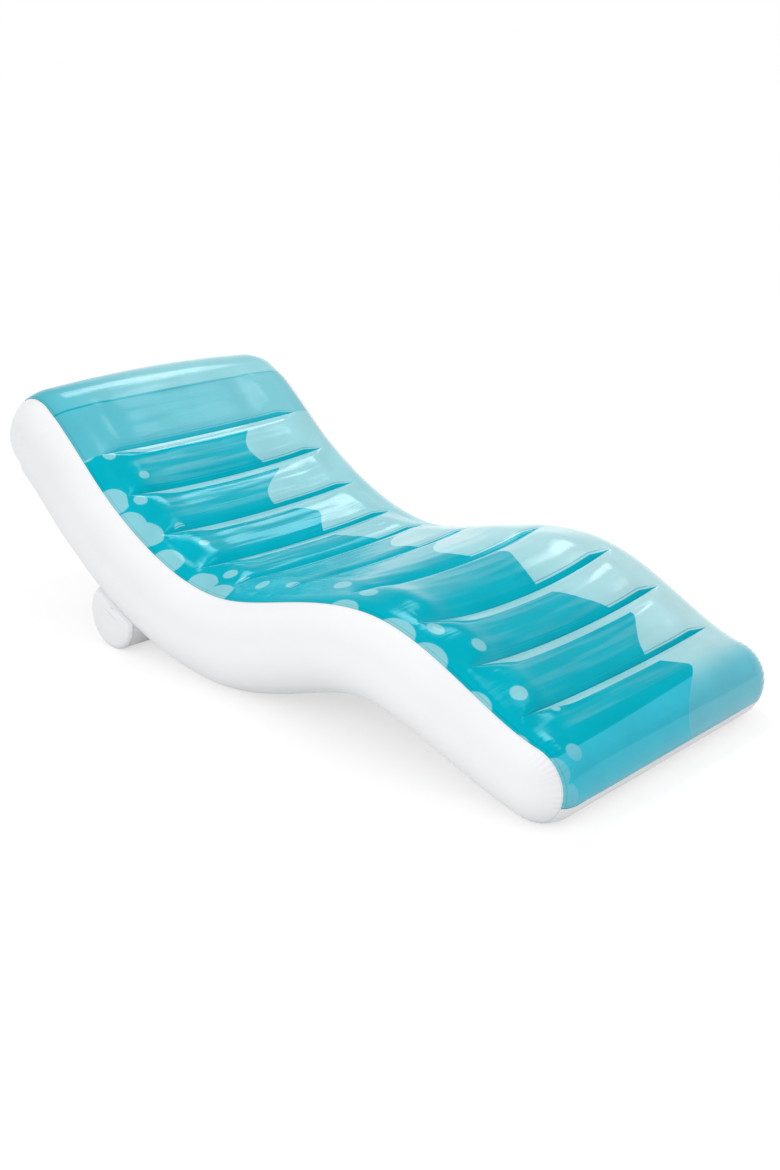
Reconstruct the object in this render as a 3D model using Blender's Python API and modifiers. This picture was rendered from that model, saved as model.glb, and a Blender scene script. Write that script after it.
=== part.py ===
"""Inflatable wave lounger: a quilted, S-shaped pool float on a bolster.

Metres, +Z up. The foot end points to -Y and the head end to +Y. The origin is
on the floor, under the middle of the float. The skin is made of flat panels of
thin vinyl, welded at their edges, that take their round shape from the air.
"""

import math
from dataclasses import dataclass

import bmesh
import bpy
import numpy as np
from mathutils import Matrix, Vector

# Overall sizes of the blown-up float
LENGTH = 1.910
WIDTH = 0.920

# Thickness of the float at its named places
FOOT_THICKNESS = 0.188
KNEE_THICKNESS = 0.229
SEAT_THICKNESS = 0.257
SHOULDER_THICKNESS = 0.257
HEAD_THICKNESS = 0.260

# The middle line in the side view: runs from the middle of the foot end, and heights over the floor
KNEE_RUN = 0.450
SEAT_RUN = 0.965
SHOULDER_RUN = 1.448
KNEE_HEIGHT = 0.228
SHOULDER_HEIGHT = 0.295
HEAD_HEIGHT = 0.486
FOOT_SLOPE = 0.175
SHOULDER_SLOPE = 0.700
HEAD_SLOPE = 0.665

# How far the soft skin is pressed flat where it rests
FOOT_SETTLE = 0.006
SEAT_SETTLE = 0.009
BOLSTER_SETTLE = 0.002

# Vinyl sheet, and the clearance between neighbouring pieces
SKIN_WALL = 0.0005
WEB_WALL = 0.0005
CLEAR = 0.0003

# Inner webs, as shares of the middle line from the foot end
WEB_PLACE_SHARES = (0.049, 0.136, 0.211, 0.303, 0.419, 0.539, 0.626, 0.728, 0.821, 0.906)
WEB_END_GAP = 0.045
WEB_END_PULL = 0.018
WEB_EDGE_GAP = 0.0010
GROOVE_DEPTH = 0.040
END_BAY_REACH = 0.080

# How deep a groove is along its web: places as shares of the web's half length, and depths there
GROOVE_PLACE_SHARES = (0.35, 0.70, 1.0)
GROOVE_DEPTH_SHARES = (0.95, 0.69, 0.32)
GROOVE_POWER = 3

# Welded seams
SEAM_ANGLE = math.radians(28)
FOOT_SEAM_ANGLE = math.radians(100)
HEAD_SEAM_ANGLE = math.radians(110)
LAP = 0.008
LAP_STEP = 0.003

# Bolster under the back
BOLSTER_RUN = 1.340
BOLSTER_RADIUS = 0.086
BOLSTER_END_INSET = 0.036
BOLSTER_END_CROWN = 0.014
BOLSTER_SHOULDER = 0.016

# Two-way air valve: a welded collar, a stem that pushes in, a stopper and a check flap
VALVE_COLLAR_RADIUS = 0.020
VALVE_COLLAR_PROUD = 0.0035
VALVE_COLLAR_DEPTH = 0.004
VALVE_EDGE = 0.0005
STEM_RADIUS = 0.0099
STEM_BORE = 0.0070
STEM_REACH = 0.018
STEM_RIM_RADIUS = 0.0130
STEM_RIM_THICKNESS = 0.002
LUG_REACH = 0.0165
LUG_WIDTH = 0.006
STOPPER_CAP_RADIUS = 0.0110
STOPPER_CAP_THICKNESS = 0.0016
STOPPER_PLUG_LENGTH = 0.005
STOPPER_PLUG_RADIUS = 0.0066
STOPPER_TIP_RADIUS = 0.0056
STRAP_WIDTH = 0.005
FLAP_RADIUS = 0.0086
FLAP_THICKNESS = 0.0008
FLAP_HINGE_INSET = 0.0005
MAIN_VALVE_SIDE = 0.200
MAIN_VALVE_AFTER_WEB = 3

# Counts of facets
LINE_SAMPLES = 1600
BAY_STEPS = 4
FOOT_BAY_STEPS = 2
HEAD_BAY_STEPS = 3
TOP_ARC_STEPS = 4
BOTTOM_ARC_STEPS = 3
SIDE_ANGLE_SHARES = (0.38, 0.68, 1.0)
FADE_SHARES = (0.5, 1.0)
BOLSTER_STEPS = 32
SHOULDER_STEPS = 3
VALVE_STEPS = 24
WEB_ROWS = 4

# Distance under which points are one, and how far a cutter runs past what it cuts
MERGE = 0.00001
OVERRUN = 0.020

# Angle over which an edge between two facets is shaded as a corner
SHARP_ANGLE = math.radians(40)

# Colours (linear) and roughness
TURQUOISE = (0.045, 0.500, 0.610, 1.0)
WHITE = (0.860, 0.870, 0.880, 1.0)
CLEAR_WHITE = (0.780, 0.800, 0.810, 1.0)
TINT_COVER = 0.8
GLOSS_ROUGHNESS = 0.22
SATIN_ROUGHNESS = 0.38


@dataclass(frozen=True)
class Station:
    """A place on the outline in the side view, with the way that it faces."""

    y: float
    z: float
    out_y: float
    out_z: float
    radius: float
    groove: float


class MiddleLine:
    """The smooth line through the middle of the float's thickness."""

    def __init__(self):
        """Blend the named places into one curve and measure along it."""
        foot_radius = FOOT_THICKNESS / 2
        head_radius = HEAD_THICKNESS / 2
        run = LENGTH - foot_radius - head_radius
        runs = (0.0, KNEE_RUN, SEAT_RUN, SHOULDER_RUN, run)
        heights = (foot_radius - FOOT_SETTLE, KNEE_HEIGHT, SEAT_THICKNESS / 2 - SEAT_SETTLE,
                   SHOULDER_HEIGHT, HEAD_HEIGHT)
        slopes = (FOOT_SLOPE, 0.0, 0.0, SHOULDER_SLOPE, HEAD_SLOPE)
        radii = (foot_radius, KNEE_THICKNESS / 2, SEAT_THICKNESS / 2, SHOULDER_THICKNESS / 2, head_radius)
        flat = (0.0,) * len(runs)
        self.y = np.linspace(0.0, run, LINE_SAMPLES)
        self.z = blend_curve(self.y, runs, heights, slopes)
        self.radius = blend_curve(self.y, runs, radii, flat)
        steps = np.hypot(np.diff(self.y), np.diff(self.z))
        self.distance = np.concatenate([[0.0], np.cumsum(steps)])
        self.slope = np.gradient(self.z, self.y)
        self.length = float(self.distance[-1])
        self.shift = 0.0

    def at(self, distance):
        """Give the point, the unit tangent and the radius at a distance."""
        y = float(np.interp(distance, self.distance, self.y))
        z = float(np.interp(distance, self.distance, self.z))
        slope = float(np.interp(distance, self.distance, self.slope))
        radius = float(np.interp(distance, self.distance, self.radius))
        size = math.hypot(1.0, slope)
        return (y + self.shift, z), (1.0 / size, slope / size), radius


def blend_curve(at, places, values, slopes):
    """Blend values and slopes at a few places into one smooth curve."""
    result = np.zeros_like(at)
    for index in range(len(places) - 1):
        start = places[index]
        span = places[index + 1] - start
        inside = (at >= start) & (at <= places[index + 1])
        t = (at[inside] - start) / span
        ease = t * t * (3 - 2 * t)
        leave = t * (1 - t) ** 2
        arrive = t * t * (t - 1)
        result[inside] = (values[index] + (values[index + 1] - values[index]) * ease
                          + span * (slopes[index] * leave + slopes[index + 1] * arrive))
    return result


LINE = MiddleLine()
WEB_PLACES = tuple(share * LINE.length for share in WEB_PLACE_SHARES)


def groove_share(distance):
    """Give how far the skin is drawn in: 1 at a web, 0 at the crown of a bay."""
    if distance <= WEB_PLACES[0]:
        rise = min((WEB_PLACES[0] - distance) / END_BAY_REACH, 1.0)
        return (1.0 - rise) ** GROOVE_POWER
    if distance >= WEB_PLACES[-1]:
        rise = min((distance - WEB_PLACES[-1]) / END_BAY_REACH, 1.0)
        return (1.0 - rise) ** GROOVE_POWER
    for start, stop in zip(WEB_PLACES, WEB_PLACES[1:]):
        if distance <= stop:
            return abs(2 * (distance - start) / (stop - start) - 1) ** GROOVE_POWER
    return 0.0


def line_distances():
    """Give the distances along the middle line at which the skins have an edge."""
    distances = [WEB_PLACES[0] * step / FOOT_BAY_STEPS for step in range(FOOT_BAY_STEPS)]
    for start, stop in zip(WEB_PLACES, WEB_PLACES[1:]):
        distances += [start + (stop - start) * step / BAY_STEPS for step in range(BAY_STEPS)]
    rest = LINE.length - WEB_PLACES[-1]
    distances += [WEB_PLACES[-1] + rest * step / HEAD_BAY_STEPS for step in range(HEAD_BAY_STEPS + 1)]
    return distances


def flank(side):
    """Give the stations along the upper flank, side 1, or the lower one, side -1."""
    stations = []
    for distance in line_distances():
        (y, z), (ty, tz), radius = LINE.at(distance)
        stations.append(Station(y, z, -side * tz, side * ty, radius, groove_share(distance)))
    return stations


def end_arc(distance, way, start, stop, steps):
    """Give the stations round an end, from one angle off the upper normal to another.

    way is 1 at the head end and -1 at the foot end.
    """
    (y, z), (ty, tz), radius = LINE.at(distance)
    stations = []
    for step in range(steps + 1):
        angle = start + (stop - start) * step / steps
        up = math.cos(angle)
        on = way * math.sin(angle)
        stations.append(Station(y, z, on * ty - up * tz, on * tz + up * ty, radius, 0.0))
    return stations


def upper_outline():
    """Give the stations of the top sheet, from its foot seam to its head seam."""
    foot_gap = CLEAR / FOOT_THICKNESS
    head_gap = CLEAR / HEAD_THICKNESS
    foot = end_arc(0.0, -1, FOOT_SEAM_ANGLE - foot_gap, 0.0, TOP_ARC_STEPS)
    head = end_arc(LINE.length, 1, 0.0, HEAD_SEAM_ANGLE - head_gap, TOP_ARC_STEPS)
    return foot[:-1] + flank(1) + head[1:]


def lower_outline():
    """Give the stations of the bottom sheet, from its foot seam to its head seam."""
    foot_gap = CLEAR / FOOT_THICKNESS
    head_gap = CLEAR / HEAD_THICKNESS
    foot = end_arc(0.0, -1, FOOT_SEAM_ANGLE + foot_gap, math.pi, BOTTOM_ARC_STEPS)
    head = end_arc(LINE.length, 1, math.pi, HEAD_SEAM_ANGLE + head_gap, BOTTOM_ARC_STEPS)
    return foot[:-1] + flank(-1) + head[1:]


def closed_outline():
    """Give the stations once round the float: over the top, then back underneath."""
    return upper_outline() + lower_outline()[::-1]


def side_line():
    """Give the half width of the flat middle, where the round sides begin."""
    return (WIDTH - HEAD_THICKNESS) / 2


def web_half_length():
    """Give half the length of a web, which stops short of the round sides."""
    return side_line() - WEB_END_GAP


def groove_places():
    """Give the places along half a web at which the groove's depth is known, and the depths there."""
    return list(zip(GROOVE_PLACE_SHARES, GROOVE_DEPTH_SHARES))


def bolster_half_length():
    """Give half the length of the bolster's wrap, which stops short of the float's sides."""
    return WIDTH / 2 - BOLSTER_END_INSET


def skin_point(station, side, across, angle, strength, inset):
    """Give a point of the skin.

    across is the distance from the middle plane, up to the side line. angle is
    how far round the side the point is. strength is how much of the groove is
    felt there, and inset is the depth under the outer surface.
    """
    reach = station.radius - inset - GROOVE_DEPTH * station.groove * strength
    x = side * (across + reach * math.sin(angle))
    y = station.y + station.out_y * reach * math.cos(angle)
    z = station.z + station.out_z * reach * math.cos(angle)
    return Vector((x, y, max(z, inset)))


def sheet_columns(station):
    """Give half the columns of a sheet, from near the middle to its side seam."""
    columns = [(web_half_length() * place, 0.0, depth) for place, depth in groove_places()]
    end_depth = GROOVE_DEPTH_SHARES[-1]
    columns += [(web_half_length() + WEB_END_GAP * share, 0.0, end_depth * (1.0 - share)) for share in FADE_SHARES]
    columns.append((side_line(), SEAM_ANGLE - LAP / station.radius, 0.0))
    columns.append((side_line(), SEAM_ANGLE, 0.0))
    return columns


def panel_columns(station):
    """Give the columns of a side panel, from under the sheet's lap to the ridge."""
    tuck = SKIN_WALL + CLEAR
    step_angle = SEAM_ANGLE + LAP_STEP / station.radius
    columns = [(SEAM_ANGLE - (LAP - CLEAR) / station.radius, tuck), (SEAM_ANGLE, tuck), (step_angle, 0.0)]
    for share in SIDE_ANGLE_SHARES:
        columns.append((step_angle + (math.pi / 2 - step_angle) * share, 0.0))
    return columns


def mapped_grid(columns, rows, place, outward, split="BEAUTY"):
    """Make a grid and move each of its points to its place on a surface.

    Args:
        columns: number of steps across.
        rows: number of steps along.
        place: function of row and column that gives a point.
        outward: function of a face's middle that gives the way it should face.
        split: how four-sided faces are cut in two. A flat piece takes FIXED, the same at any size.
    """
    grid = bmesh.new()
    bmesh.ops.create_grid(grid, x_segments=columns, y_segments=rows, size=1)
    for vertex in grid.verts:
        column = round((vertex.co.x + 1) / 2 * columns)
        row = round((vertex.co.y + 1) / 2 * rows)
        vertex.co = place(row, column)
    bmesh.ops.remove_doubles(grid, verts=grid.verts, dist=MERGE)
    bmesh.ops.triangulate(grid, faces=grid.faces, quad_method=split)
    grid.normal_update()
    lean = sum(face.normal.dot(outward(face.calc_center_median())) for face in grid.faces)
    if lean < 0:
        bmesh.ops.reverse_faces(grid, faces=grid.faces)
    return grid


def new_object(name, source, material, collection):
    """Turn a bmesh into an object with a material, shaded smooth."""
    mesh = bpy.data.meshes.new(name)
    source.to_mesh(mesh)
    source.free()
    mesh.shade_smooth()
    mesh.set_sharp_from_angle(angle=SHARP_ANGLE)
    if material:
        mesh.materials.append(material)
    thing = bpy.data.objects.new(name, mesh)
    collection.objects.link(thing)
    return thing


def thicken(thing, wall):
    """Give an open surface its wall, inwards from its outer face."""
    solidify = thing.modifiers.new("wall", "SOLIDIFY")
    solidify.thickness = wall
    solidify.offset = -1
    solidify.use_even_offset = True


def cut(thing, cutter):
    """Cut one piece with another."""
    boolean = thing.modifiers.new("cut", "BOOLEAN")
    boolean.operation = "DIFFERENCE"
    boolean.object = cutter


def vinyl(name, colour, roughness, alpha=1.0):
    """Make a vinyl material with its colour, roughness and cover."""
    material = bpy.data.materials.new(name)
    material.use_nodes = True
    shader = material.node_tree.nodes["Principled BSDF"]
    shader.inputs["Base Color"].default_value = colour
    shader.inputs["Roughness"].default_value = roughness
    shader.inputs["Metallic"].default_value = 0.0
    shader.inputs["Alpha"].default_value = alpha
    material.diffuse_color = colour
    return material


def make_sheet(name, outline, up, material, collection):
    """Make the top or the bottom sheet, with its bays and grooves."""
    half = len(sheet_columns(outline[0]))

    def place(row, column):
        station = outline[row]
        side = 1 if column >= half else -1
        index = column - half if column >= half else half - 1 - column
        across, angle, strength = sheet_columns(station)[index]
        return skin_point(station, side, across, angle, strength, 0.0)

    grid = mapped_grid(2 * half - 1, len(outline) - 1, place, lambda middle: Vector((0.0, 0.0, up)))
    sheet = new_object(name, grid, material, collection)
    thicken(sheet, SKIN_WALL)
    return sheet


def make_side_panel(name, side, material, collection):
    """Make a side panel: one S-shaped strip that bulges out half round."""
    outline = closed_outline()

    def place(row, column):
        station = outline[row % len(outline)]
        angle, inset = panel_columns(station)[column]
        return skin_point(station, side, side_line(), angle, 0.0, inset)

    columns = len(panel_columns(outline[0])) - 1
    grid = mapped_grid(columns, len(outline), place, lambda middle: Vector((side, 0.0, 0.0)))
    panel = new_object(name, grid, material, collection)
    thicken(panel, SKIN_WALL)
    return panel


def make_envelope(collection):
    """Make the whole float as one block, a clearance larger, to cut the bolster with."""
    outline = closed_outline()
    half = len(sheet_columns(outline[0])) + len(SIDE_ANGLE_SHARES) + 1

    def place(row, column):
        station = outline[row % len(outline)]
        side = 1 if column >= half else -1
        index = column - half if column >= half else half - 1 - column
        columns = sheet_columns(station)
        columns += [(side_line(), angle, 0.0) for angle, inset in panel_columns(station)[2:]]
        across, angle, strength = columns[index]
        return skin_point(station, side, across, angle, strength, -CLEAR)

    middle_place = Vector((0.0, LINE.at(LINE.length / 2)[0][0], LINE.at(LINE.length / 2)[0][1]))
    grid = mapped_grid(2 * half - 1, len(outline), place, lambda middle: middle - middle_place)
    bmesh.ops.recalc_face_normals(grid, faces=grid.faces)
    envelope = new_object("float_envelope", grid, None, collection)
    hide_guide(envelope)
    return envelope


def hide_guide(thing):
    """Mark a cutter, which is not part of the model."""
    thing.hide_render = True
    thing.display_type = "WIRE"


def make_web(name, distance, material, collection):
    """Make an inner web, which ties the top sheet to the bottom sheet along a groove."""
    (y, z), (ty, tz), radius = LINE.at(distance)
    columns = [(-wide, depth) for wide, depth in groove_places()[::-1]] + groove_places()

    def place(row, column):
        wide, depth = columns[column]
        high = 2 * row / WEB_ROWS - 1
        x = wide * (web_half_length() - WEB_END_PULL * (1 - high * high))
        up = high * (radius - GROOVE_DEPTH * depth - WEB_EDGE_GAP)
        return Vector((x, y - tz * up + ty * WEB_WALL / 2, z + ty * up + tz * WEB_WALL / 2))

    grid = mapped_grid(len(columns) - 1, WEB_ROWS, place, lambda middle: Vector((0.0, ty, tz)), "FIXED")
    web = new_object(name, grid, material, collection)
    thicken(web, WEB_WALL)
    return web


def bolster_middle():
    """Give the bolster's axis in the side view."""
    return BOLSTER_RUN + LINE.shift, BOLSTER_RADIUS - BOLSTER_SETTLE


def bolster_point(x, radius, turn):
    """Give a point of the bolster's skin, pressed flat where it meets the floor."""
    y, z = bolster_middle()
    angle = 2 * math.pi * turn
    return Vector((x, y + radius * math.sin(angle), max(z - radius * math.cos(angle), 0.0)))


def make_bolster_wrap(material, envelope, collection):
    """Make the bolster's wrap: a tube whose top is open where it is welded to the float."""

    def place(row, column):
        x = bolster_half_length() * (2 * row - 1)
        return bolster_point(x, BOLSTER_RADIUS, column % BOLSTER_STEPS / BOLSTER_STEPS)

    y, z = bolster_middle()
    grid = mapped_grid(BOLSTER_STEPS, 1, place, lambda middle: middle - Vector((middle.x, y, z)))
    wrap = new_object("bolster_wrap", grid, material, collection)
    thicken(wrap, SKIN_WALL)
    cut(wrap, envelope)
    return wrap


def make_bolster_end(name, side, material, envelope, collection):
    """Make an end disc of the bolster: flat in the middle, with a round shoulder."""
    profile = [(0.0, BOLSTER_END_CROWN)]
    for step in range(SHOULDER_STEPS + 1):
        angle = math.pi / 2 * step / SHOULDER_STEPS
        radius = BOLSTER_RADIUS - BOLSTER_SHOULDER * (1 - math.sin(angle))
        profile.append((radius, CLEAR + (BOLSTER_END_CROWN - CLEAR) * math.cos(angle)))

    def place(row, column):
        radius, proud = profile[row]
        x = side * (bolster_half_length() + proud)
        return bolster_point(x, radius, column % BOLSTER_STEPS / BOLSTER_STEPS)

    grid = mapped_grid(BOLSTER_STEPS, len(profile) - 1, place, lambda middle: Vector((side, 0.0, 0.0)))
    disc = new_object(name, grid, material, collection)
    thicken(disc, SKIN_WALL)
    cut(disc, envelope)
    return disc


def turned(name, profile, material, collection):
    """Turn a closed outline, given down its outer side first, about local Z."""
    source = bmesh.new()
    points = [source.verts.new((radius, 0.0, height)) for radius, height in profile]
    for index, point in enumerate(points):
        follower = points[(index + 1) % len(points)]
        if point.co.x > 0.0 or follower.co.x > 0.0:
            source.edges.new((point, follower))
    thing = new_object(name, source, material, collection)
    screw = thing.modifiers.new("turn", "SCREW")
    screw.axis = "Z"
    screw.angle = 2 * math.pi
    screw.steps = VALVE_STEPS
    screw.render_steps = VALVE_STEPS
    screw.use_merge_vertices = True
    screw.merge_threshold = MERGE
    screw.use_smooth_shade = True
    return thing


def block(name, low, high, collection):
    """Make a box between two corners, as a joined-on shape."""
    source = bmesh.new()
    bmesh.ops.create_cube(source, size=1)
    middle = (Vector(low) + Vector(high)) / 2
    size = Vector(high) - Vector(low)
    bmesh.ops.scale(source, vec=size, verts=source.verts)
    bmesh.ops.translate(source, vec=middle, verts=source.verts)
    thing = new_object(name, source, None, collection)
    hide_guide(thing)
    return thing


def join(thing, other):
    """Join a shape onto a piece."""
    boolean = thing.modifiers.new("join", "BOOLEAN")
    boolean.operation = "UNION"
    boolean.object = other


def chamfered_ring(outer, inner, top, bottom, edge):
    """Give the outline of a ring whose outer corners are chamfered."""
    return [(inner, top), (outer - edge, top), (outer, top - edge), (outer, bottom + edge),
            (outer - edge, bottom), (inner, bottom)]


def make_valve(prefix, place, material, flap_material, skin, parts, cutters):
    """Make a valve on a skin, in the frame of its place: local Z points out of the skin.

    Args:
        prefix: start of the names of the valve's pieces.
        place: matrix of the middle of the valve on the skin.
        material: material of the moulded pieces.
        flap_material: material of the check flap.
        skin: sheet or disc that gets the valve's hole.
        parts: collection of the model's pieces.
        cutters: collection of the cutters.
    """
    seat = bpy.data.objects.new(prefix + "_seat", None)
    seat.matrix_world = place
    parts.objects.link(seat)

    hole = bmesh.new()
    bmesh.ops.create_cone(hole, cap_ends=True, segments=VALVE_STEPS, radius1=VALVE_COLLAR_RADIUS + CLEAR,
                          radius2=VALVE_COLLAR_RADIUS + CLEAR, depth=OVERRUN)
    cutter = new_object(prefix + "_hole", hole, None, cutters)
    hide_guide(cutter)
    cutter.parent = seat
    cut(skin, cutter)

    collar = turned(prefix + "_collar",
                    chamfered_ring(VALVE_COLLAR_RADIUS, STEM_RADIUS + CLEAR, VALVE_COLLAR_PROUD,
                                   -VALVE_COLLAR_DEPTH, VALVE_EDGE), material, parts)
    collar.parent = seat

    rim_low = VALVE_COLLAR_PROUD + CLEAR
    rim_top = rim_low + STEM_RIM_THICKNESS
    stem = turned(prefix + "_stem", [
        (STEM_BORE, rim_top), (STEM_RIM_RADIUS - VALVE_EDGE, rim_top),
        (STEM_RIM_RADIUS, rim_top - VALVE_EDGE), (STEM_RIM_RADIUS, rim_low),
        (STEM_RADIUS, rim_low), (STEM_RADIUS, -STEM_REACH), (STEM_BORE, -STEM_REACH)], material, parts)
    stem.parent = seat
    lug = block(prefix + "_lug", (STEM_RADIUS, -LUG_WIDTH / 2, rim_low + VALVE_EDGE),
                (LUG_REACH, LUG_WIDTH / 2, rim_top - VALVE_EDGE), cutters)
    lug.parent = seat
    join(stem, lug)

    hinge = Vector((LUG_REACH, 0.0, rim_top - VALVE_EDGE - CLEAR))
    cap_low = rim_top + CLEAR - hinge.z
    cap_top = cap_low + STOPPER_CAP_THICKNESS
    stopper = turned(prefix + "_stopper", [
        (0.0, cap_top), (STOPPER_CAP_RADIUS - VALVE_EDGE, cap_top),
        (STOPPER_CAP_RADIUS, cap_top - VALVE_EDGE), (STOPPER_CAP_RADIUS, cap_low),
        (STOPPER_PLUG_RADIUS, cap_low), (STOPPER_TIP_RADIUS, cap_low - STOPPER_PLUG_LENGTH),
        (0.0, cap_low - STOPPER_PLUG_LENGTH)], material, parts)
    shift_mesh(stopper, Vector((-hinge.x, 0.0, 0.0)))
    stopper.parent = seat
    stopper.location = hinge
    strap_root = STOPPER_CAP_RADIUS - STRAP_WIDTH / 2 - hinge.x
    strap = block(prefix + "_strap", (strap_root, -STRAP_WIDTH / 2, cap_low),
                  (0.0, STRAP_WIDTH / 2, cap_top - VALVE_EDGE), cutters)
    strap.parent = seat
    strap.location = hinge
    join(stopper, strap)

    flap_pin = Vector((FLAP_RADIUS + FLAP_HINGE_INSET, 0.0, -STEM_REACH - CLEAR - FLAP_THICKNESS / 2))
    flap = turned(prefix + "_flap", [
        (0.0, FLAP_THICKNESS / 2), (FLAP_RADIUS, FLAP_THICKNESS / 2),
        (FLAP_RADIUS, -FLAP_THICKNESS / 2), (0.0, -FLAP_THICKNESS / 2)], flap_material, parts)
    shift_mesh(flap, Vector((-flap_pin.x, 0.0, 0.0)))
    flap.parent = seat
    flap.location = flap_pin


def shift_mesh(thing, offset):
    """Turn a piece about an axis that isn't its origin: the axis is offset from it."""
    axis = bpy.data.objects.new(thing.name + "_axis", None)
    axis.location = offset
    axis.parent = thing
    thing.users_collection[0].objects.link(axis)
    thing.modifiers["turn"].object = axis
    for vertex in thing.data.vertices:
        vertex.co += offset


def place_of(origin, along, out):
    """Give the matrix of a valve from its middle, the way of its strap and the way out."""
    across = out.cross(along)
    turn = Matrix((along, across, out)).transposed()
    return Matrix.Translation(origin) @ turn.to_4x4()


def new_collection(name):
    """Add a collection to the scene."""
    collection = bpy.data.collections.new(name)
    bpy.context.scene.collection.children.link(collection)
    return collection


def centre_line():
    """Shift the middle line so that the float's outline is centred on the origin."""
    outline = closed_outline()
    reach = [station.y + station.out_y * station.radius for station in outline]
    LINE.shift = -(max(reach) + min(reach)) / 2


def build():
    """Build every piece of the lounger."""
    for thing in list(bpy.data.objects):
        bpy.data.objects.remove(thing, do_unlink=True)
    parts = new_collection("wave_lounger")
    cutters = new_collection("cutters")
    centre_line()

    tinted = vinyl("tinted_vinyl", TURQUOISE, GLOSS_ROUGHNESS, TINT_COVER)
    white = vinyl("white_vinyl", WHITE, SATIN_ROUGHNESS)
    web_vinyl = vinyl("web_vinyl", WHITE, SATIN_ROUGHNESS)
    moulded = vinyl("moulded_vinyl", CLEAR_WHITE, GLOSS_ROUGHNESS)
    flap_vinyl = vinyl("flap_vinyl", CLEAR_WHITE, SATIN_ROUGHNESS)

    make_sheet("top_sheet", upper_outline(), 1, tinted, parts)
    bottom = make_sheet("bottom_sheet", lower_outline(), -1, white, parts)
    make_side_panel("side_panel_left", -1, white, parts)
    make_side_panel("side_panel_right", 1, white, parts)
    for number, distance in enumerate(WEB_PLACES, 1):
        make_web(f"web_{number:02d}", distance, web_vinyl, parts)

    envelope = make_envelope(cutters)
    make_bolster_wrap(white, envelope, parts)
    make_bolster_end("bolster_end_left", -1, white, envelope, parts)
    right_end = make_bolster_end("bolster_end_right", 1, white, envelope, parts)

    bay_middle = (WEB_PLACES[MAIN_VALVE_AFTER_WEB - 1] + WEB_PLACES[MAIN_VALVE_AFTER_WEB]) / 2
    (y, z), (ty, tz), radius = LINE.at(bay_middle)
    under = Vector((MAIN_VALVE_SIDE, y + tz * radius, z - ty * radius))
    main_place = place_of(under, Vector((0.0, 1.0, 0.0)), Vector((0.0, 0.0, -1.0)))
    make_valve("main_valve", main_place, moulded, flap_vinyl, bottom, parts, cutters)

    y, z = bolster_middle()
    end_middle = Vector((bolster_half_length() + BOLSTER_END_CROWN, y, z))
    end_place = place_of(end_middle, Vector((0.0, 0.0, 1.0)), Vector((1.0, 0.0, 0.0)))
    make_valve("bolster_valve", end_place, moulded, flap_vinyl, right_end, parts, cutters)
    bpy.context.view_layer.update()


build()
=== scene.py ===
"""Wave-shaped pool lounger: its printed film, white vinyl, webs, bolster and air valves.

Everything is in metres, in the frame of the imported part: +Z is up, the foot end points to -Y and the
head end to +Y. The float's skins follow the same middle line as the part, with the finer forms that
air and welds give them: full bays, pointed creases, puckered seams.
"""

import logging
import math
from dataclasses import dataclass, field
from enum import Enum
from functools import partial, reduce
from typing import Any, Callable

import bpy
import numpy as np
from mathutils import Matrix, Vector


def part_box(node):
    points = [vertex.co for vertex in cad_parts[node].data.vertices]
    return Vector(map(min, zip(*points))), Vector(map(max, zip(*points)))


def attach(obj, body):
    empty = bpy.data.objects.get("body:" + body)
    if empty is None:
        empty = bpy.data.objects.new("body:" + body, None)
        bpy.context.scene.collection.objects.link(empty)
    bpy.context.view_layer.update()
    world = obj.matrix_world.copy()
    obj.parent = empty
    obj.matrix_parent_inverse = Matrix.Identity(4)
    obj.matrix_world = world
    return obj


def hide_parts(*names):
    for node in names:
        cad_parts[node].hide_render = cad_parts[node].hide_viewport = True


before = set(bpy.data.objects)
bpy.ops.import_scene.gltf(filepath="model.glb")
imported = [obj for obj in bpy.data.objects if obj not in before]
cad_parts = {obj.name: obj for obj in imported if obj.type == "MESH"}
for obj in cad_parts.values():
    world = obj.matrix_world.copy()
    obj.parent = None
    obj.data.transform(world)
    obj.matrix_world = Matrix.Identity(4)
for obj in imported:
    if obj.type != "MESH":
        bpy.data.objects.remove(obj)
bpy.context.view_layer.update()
LOG = logging.getLogger("lounger")

FLOAT_BODY = "float"  # the body of every new piece
NO_WEB = 1.0  # a distance beyond all webs
TINY = 1e-9

# Names of the layers that tell a finish where the film lies, and how far seams and welds are
FILM_UV = "Film"
SEAM_GAP = "seam_gap"
PAST_WELD = "past_weld"
BEFORE_WELD = "before_weld"


class Side(Enum):
    """The two long sides of the float, by the sign of X."""

    LEFT = -1
    RIGHT = 1


class Face(Enum):
    """The upper and the lower face of the float."""

    UPPER = 1
    LOWER = -1


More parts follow.
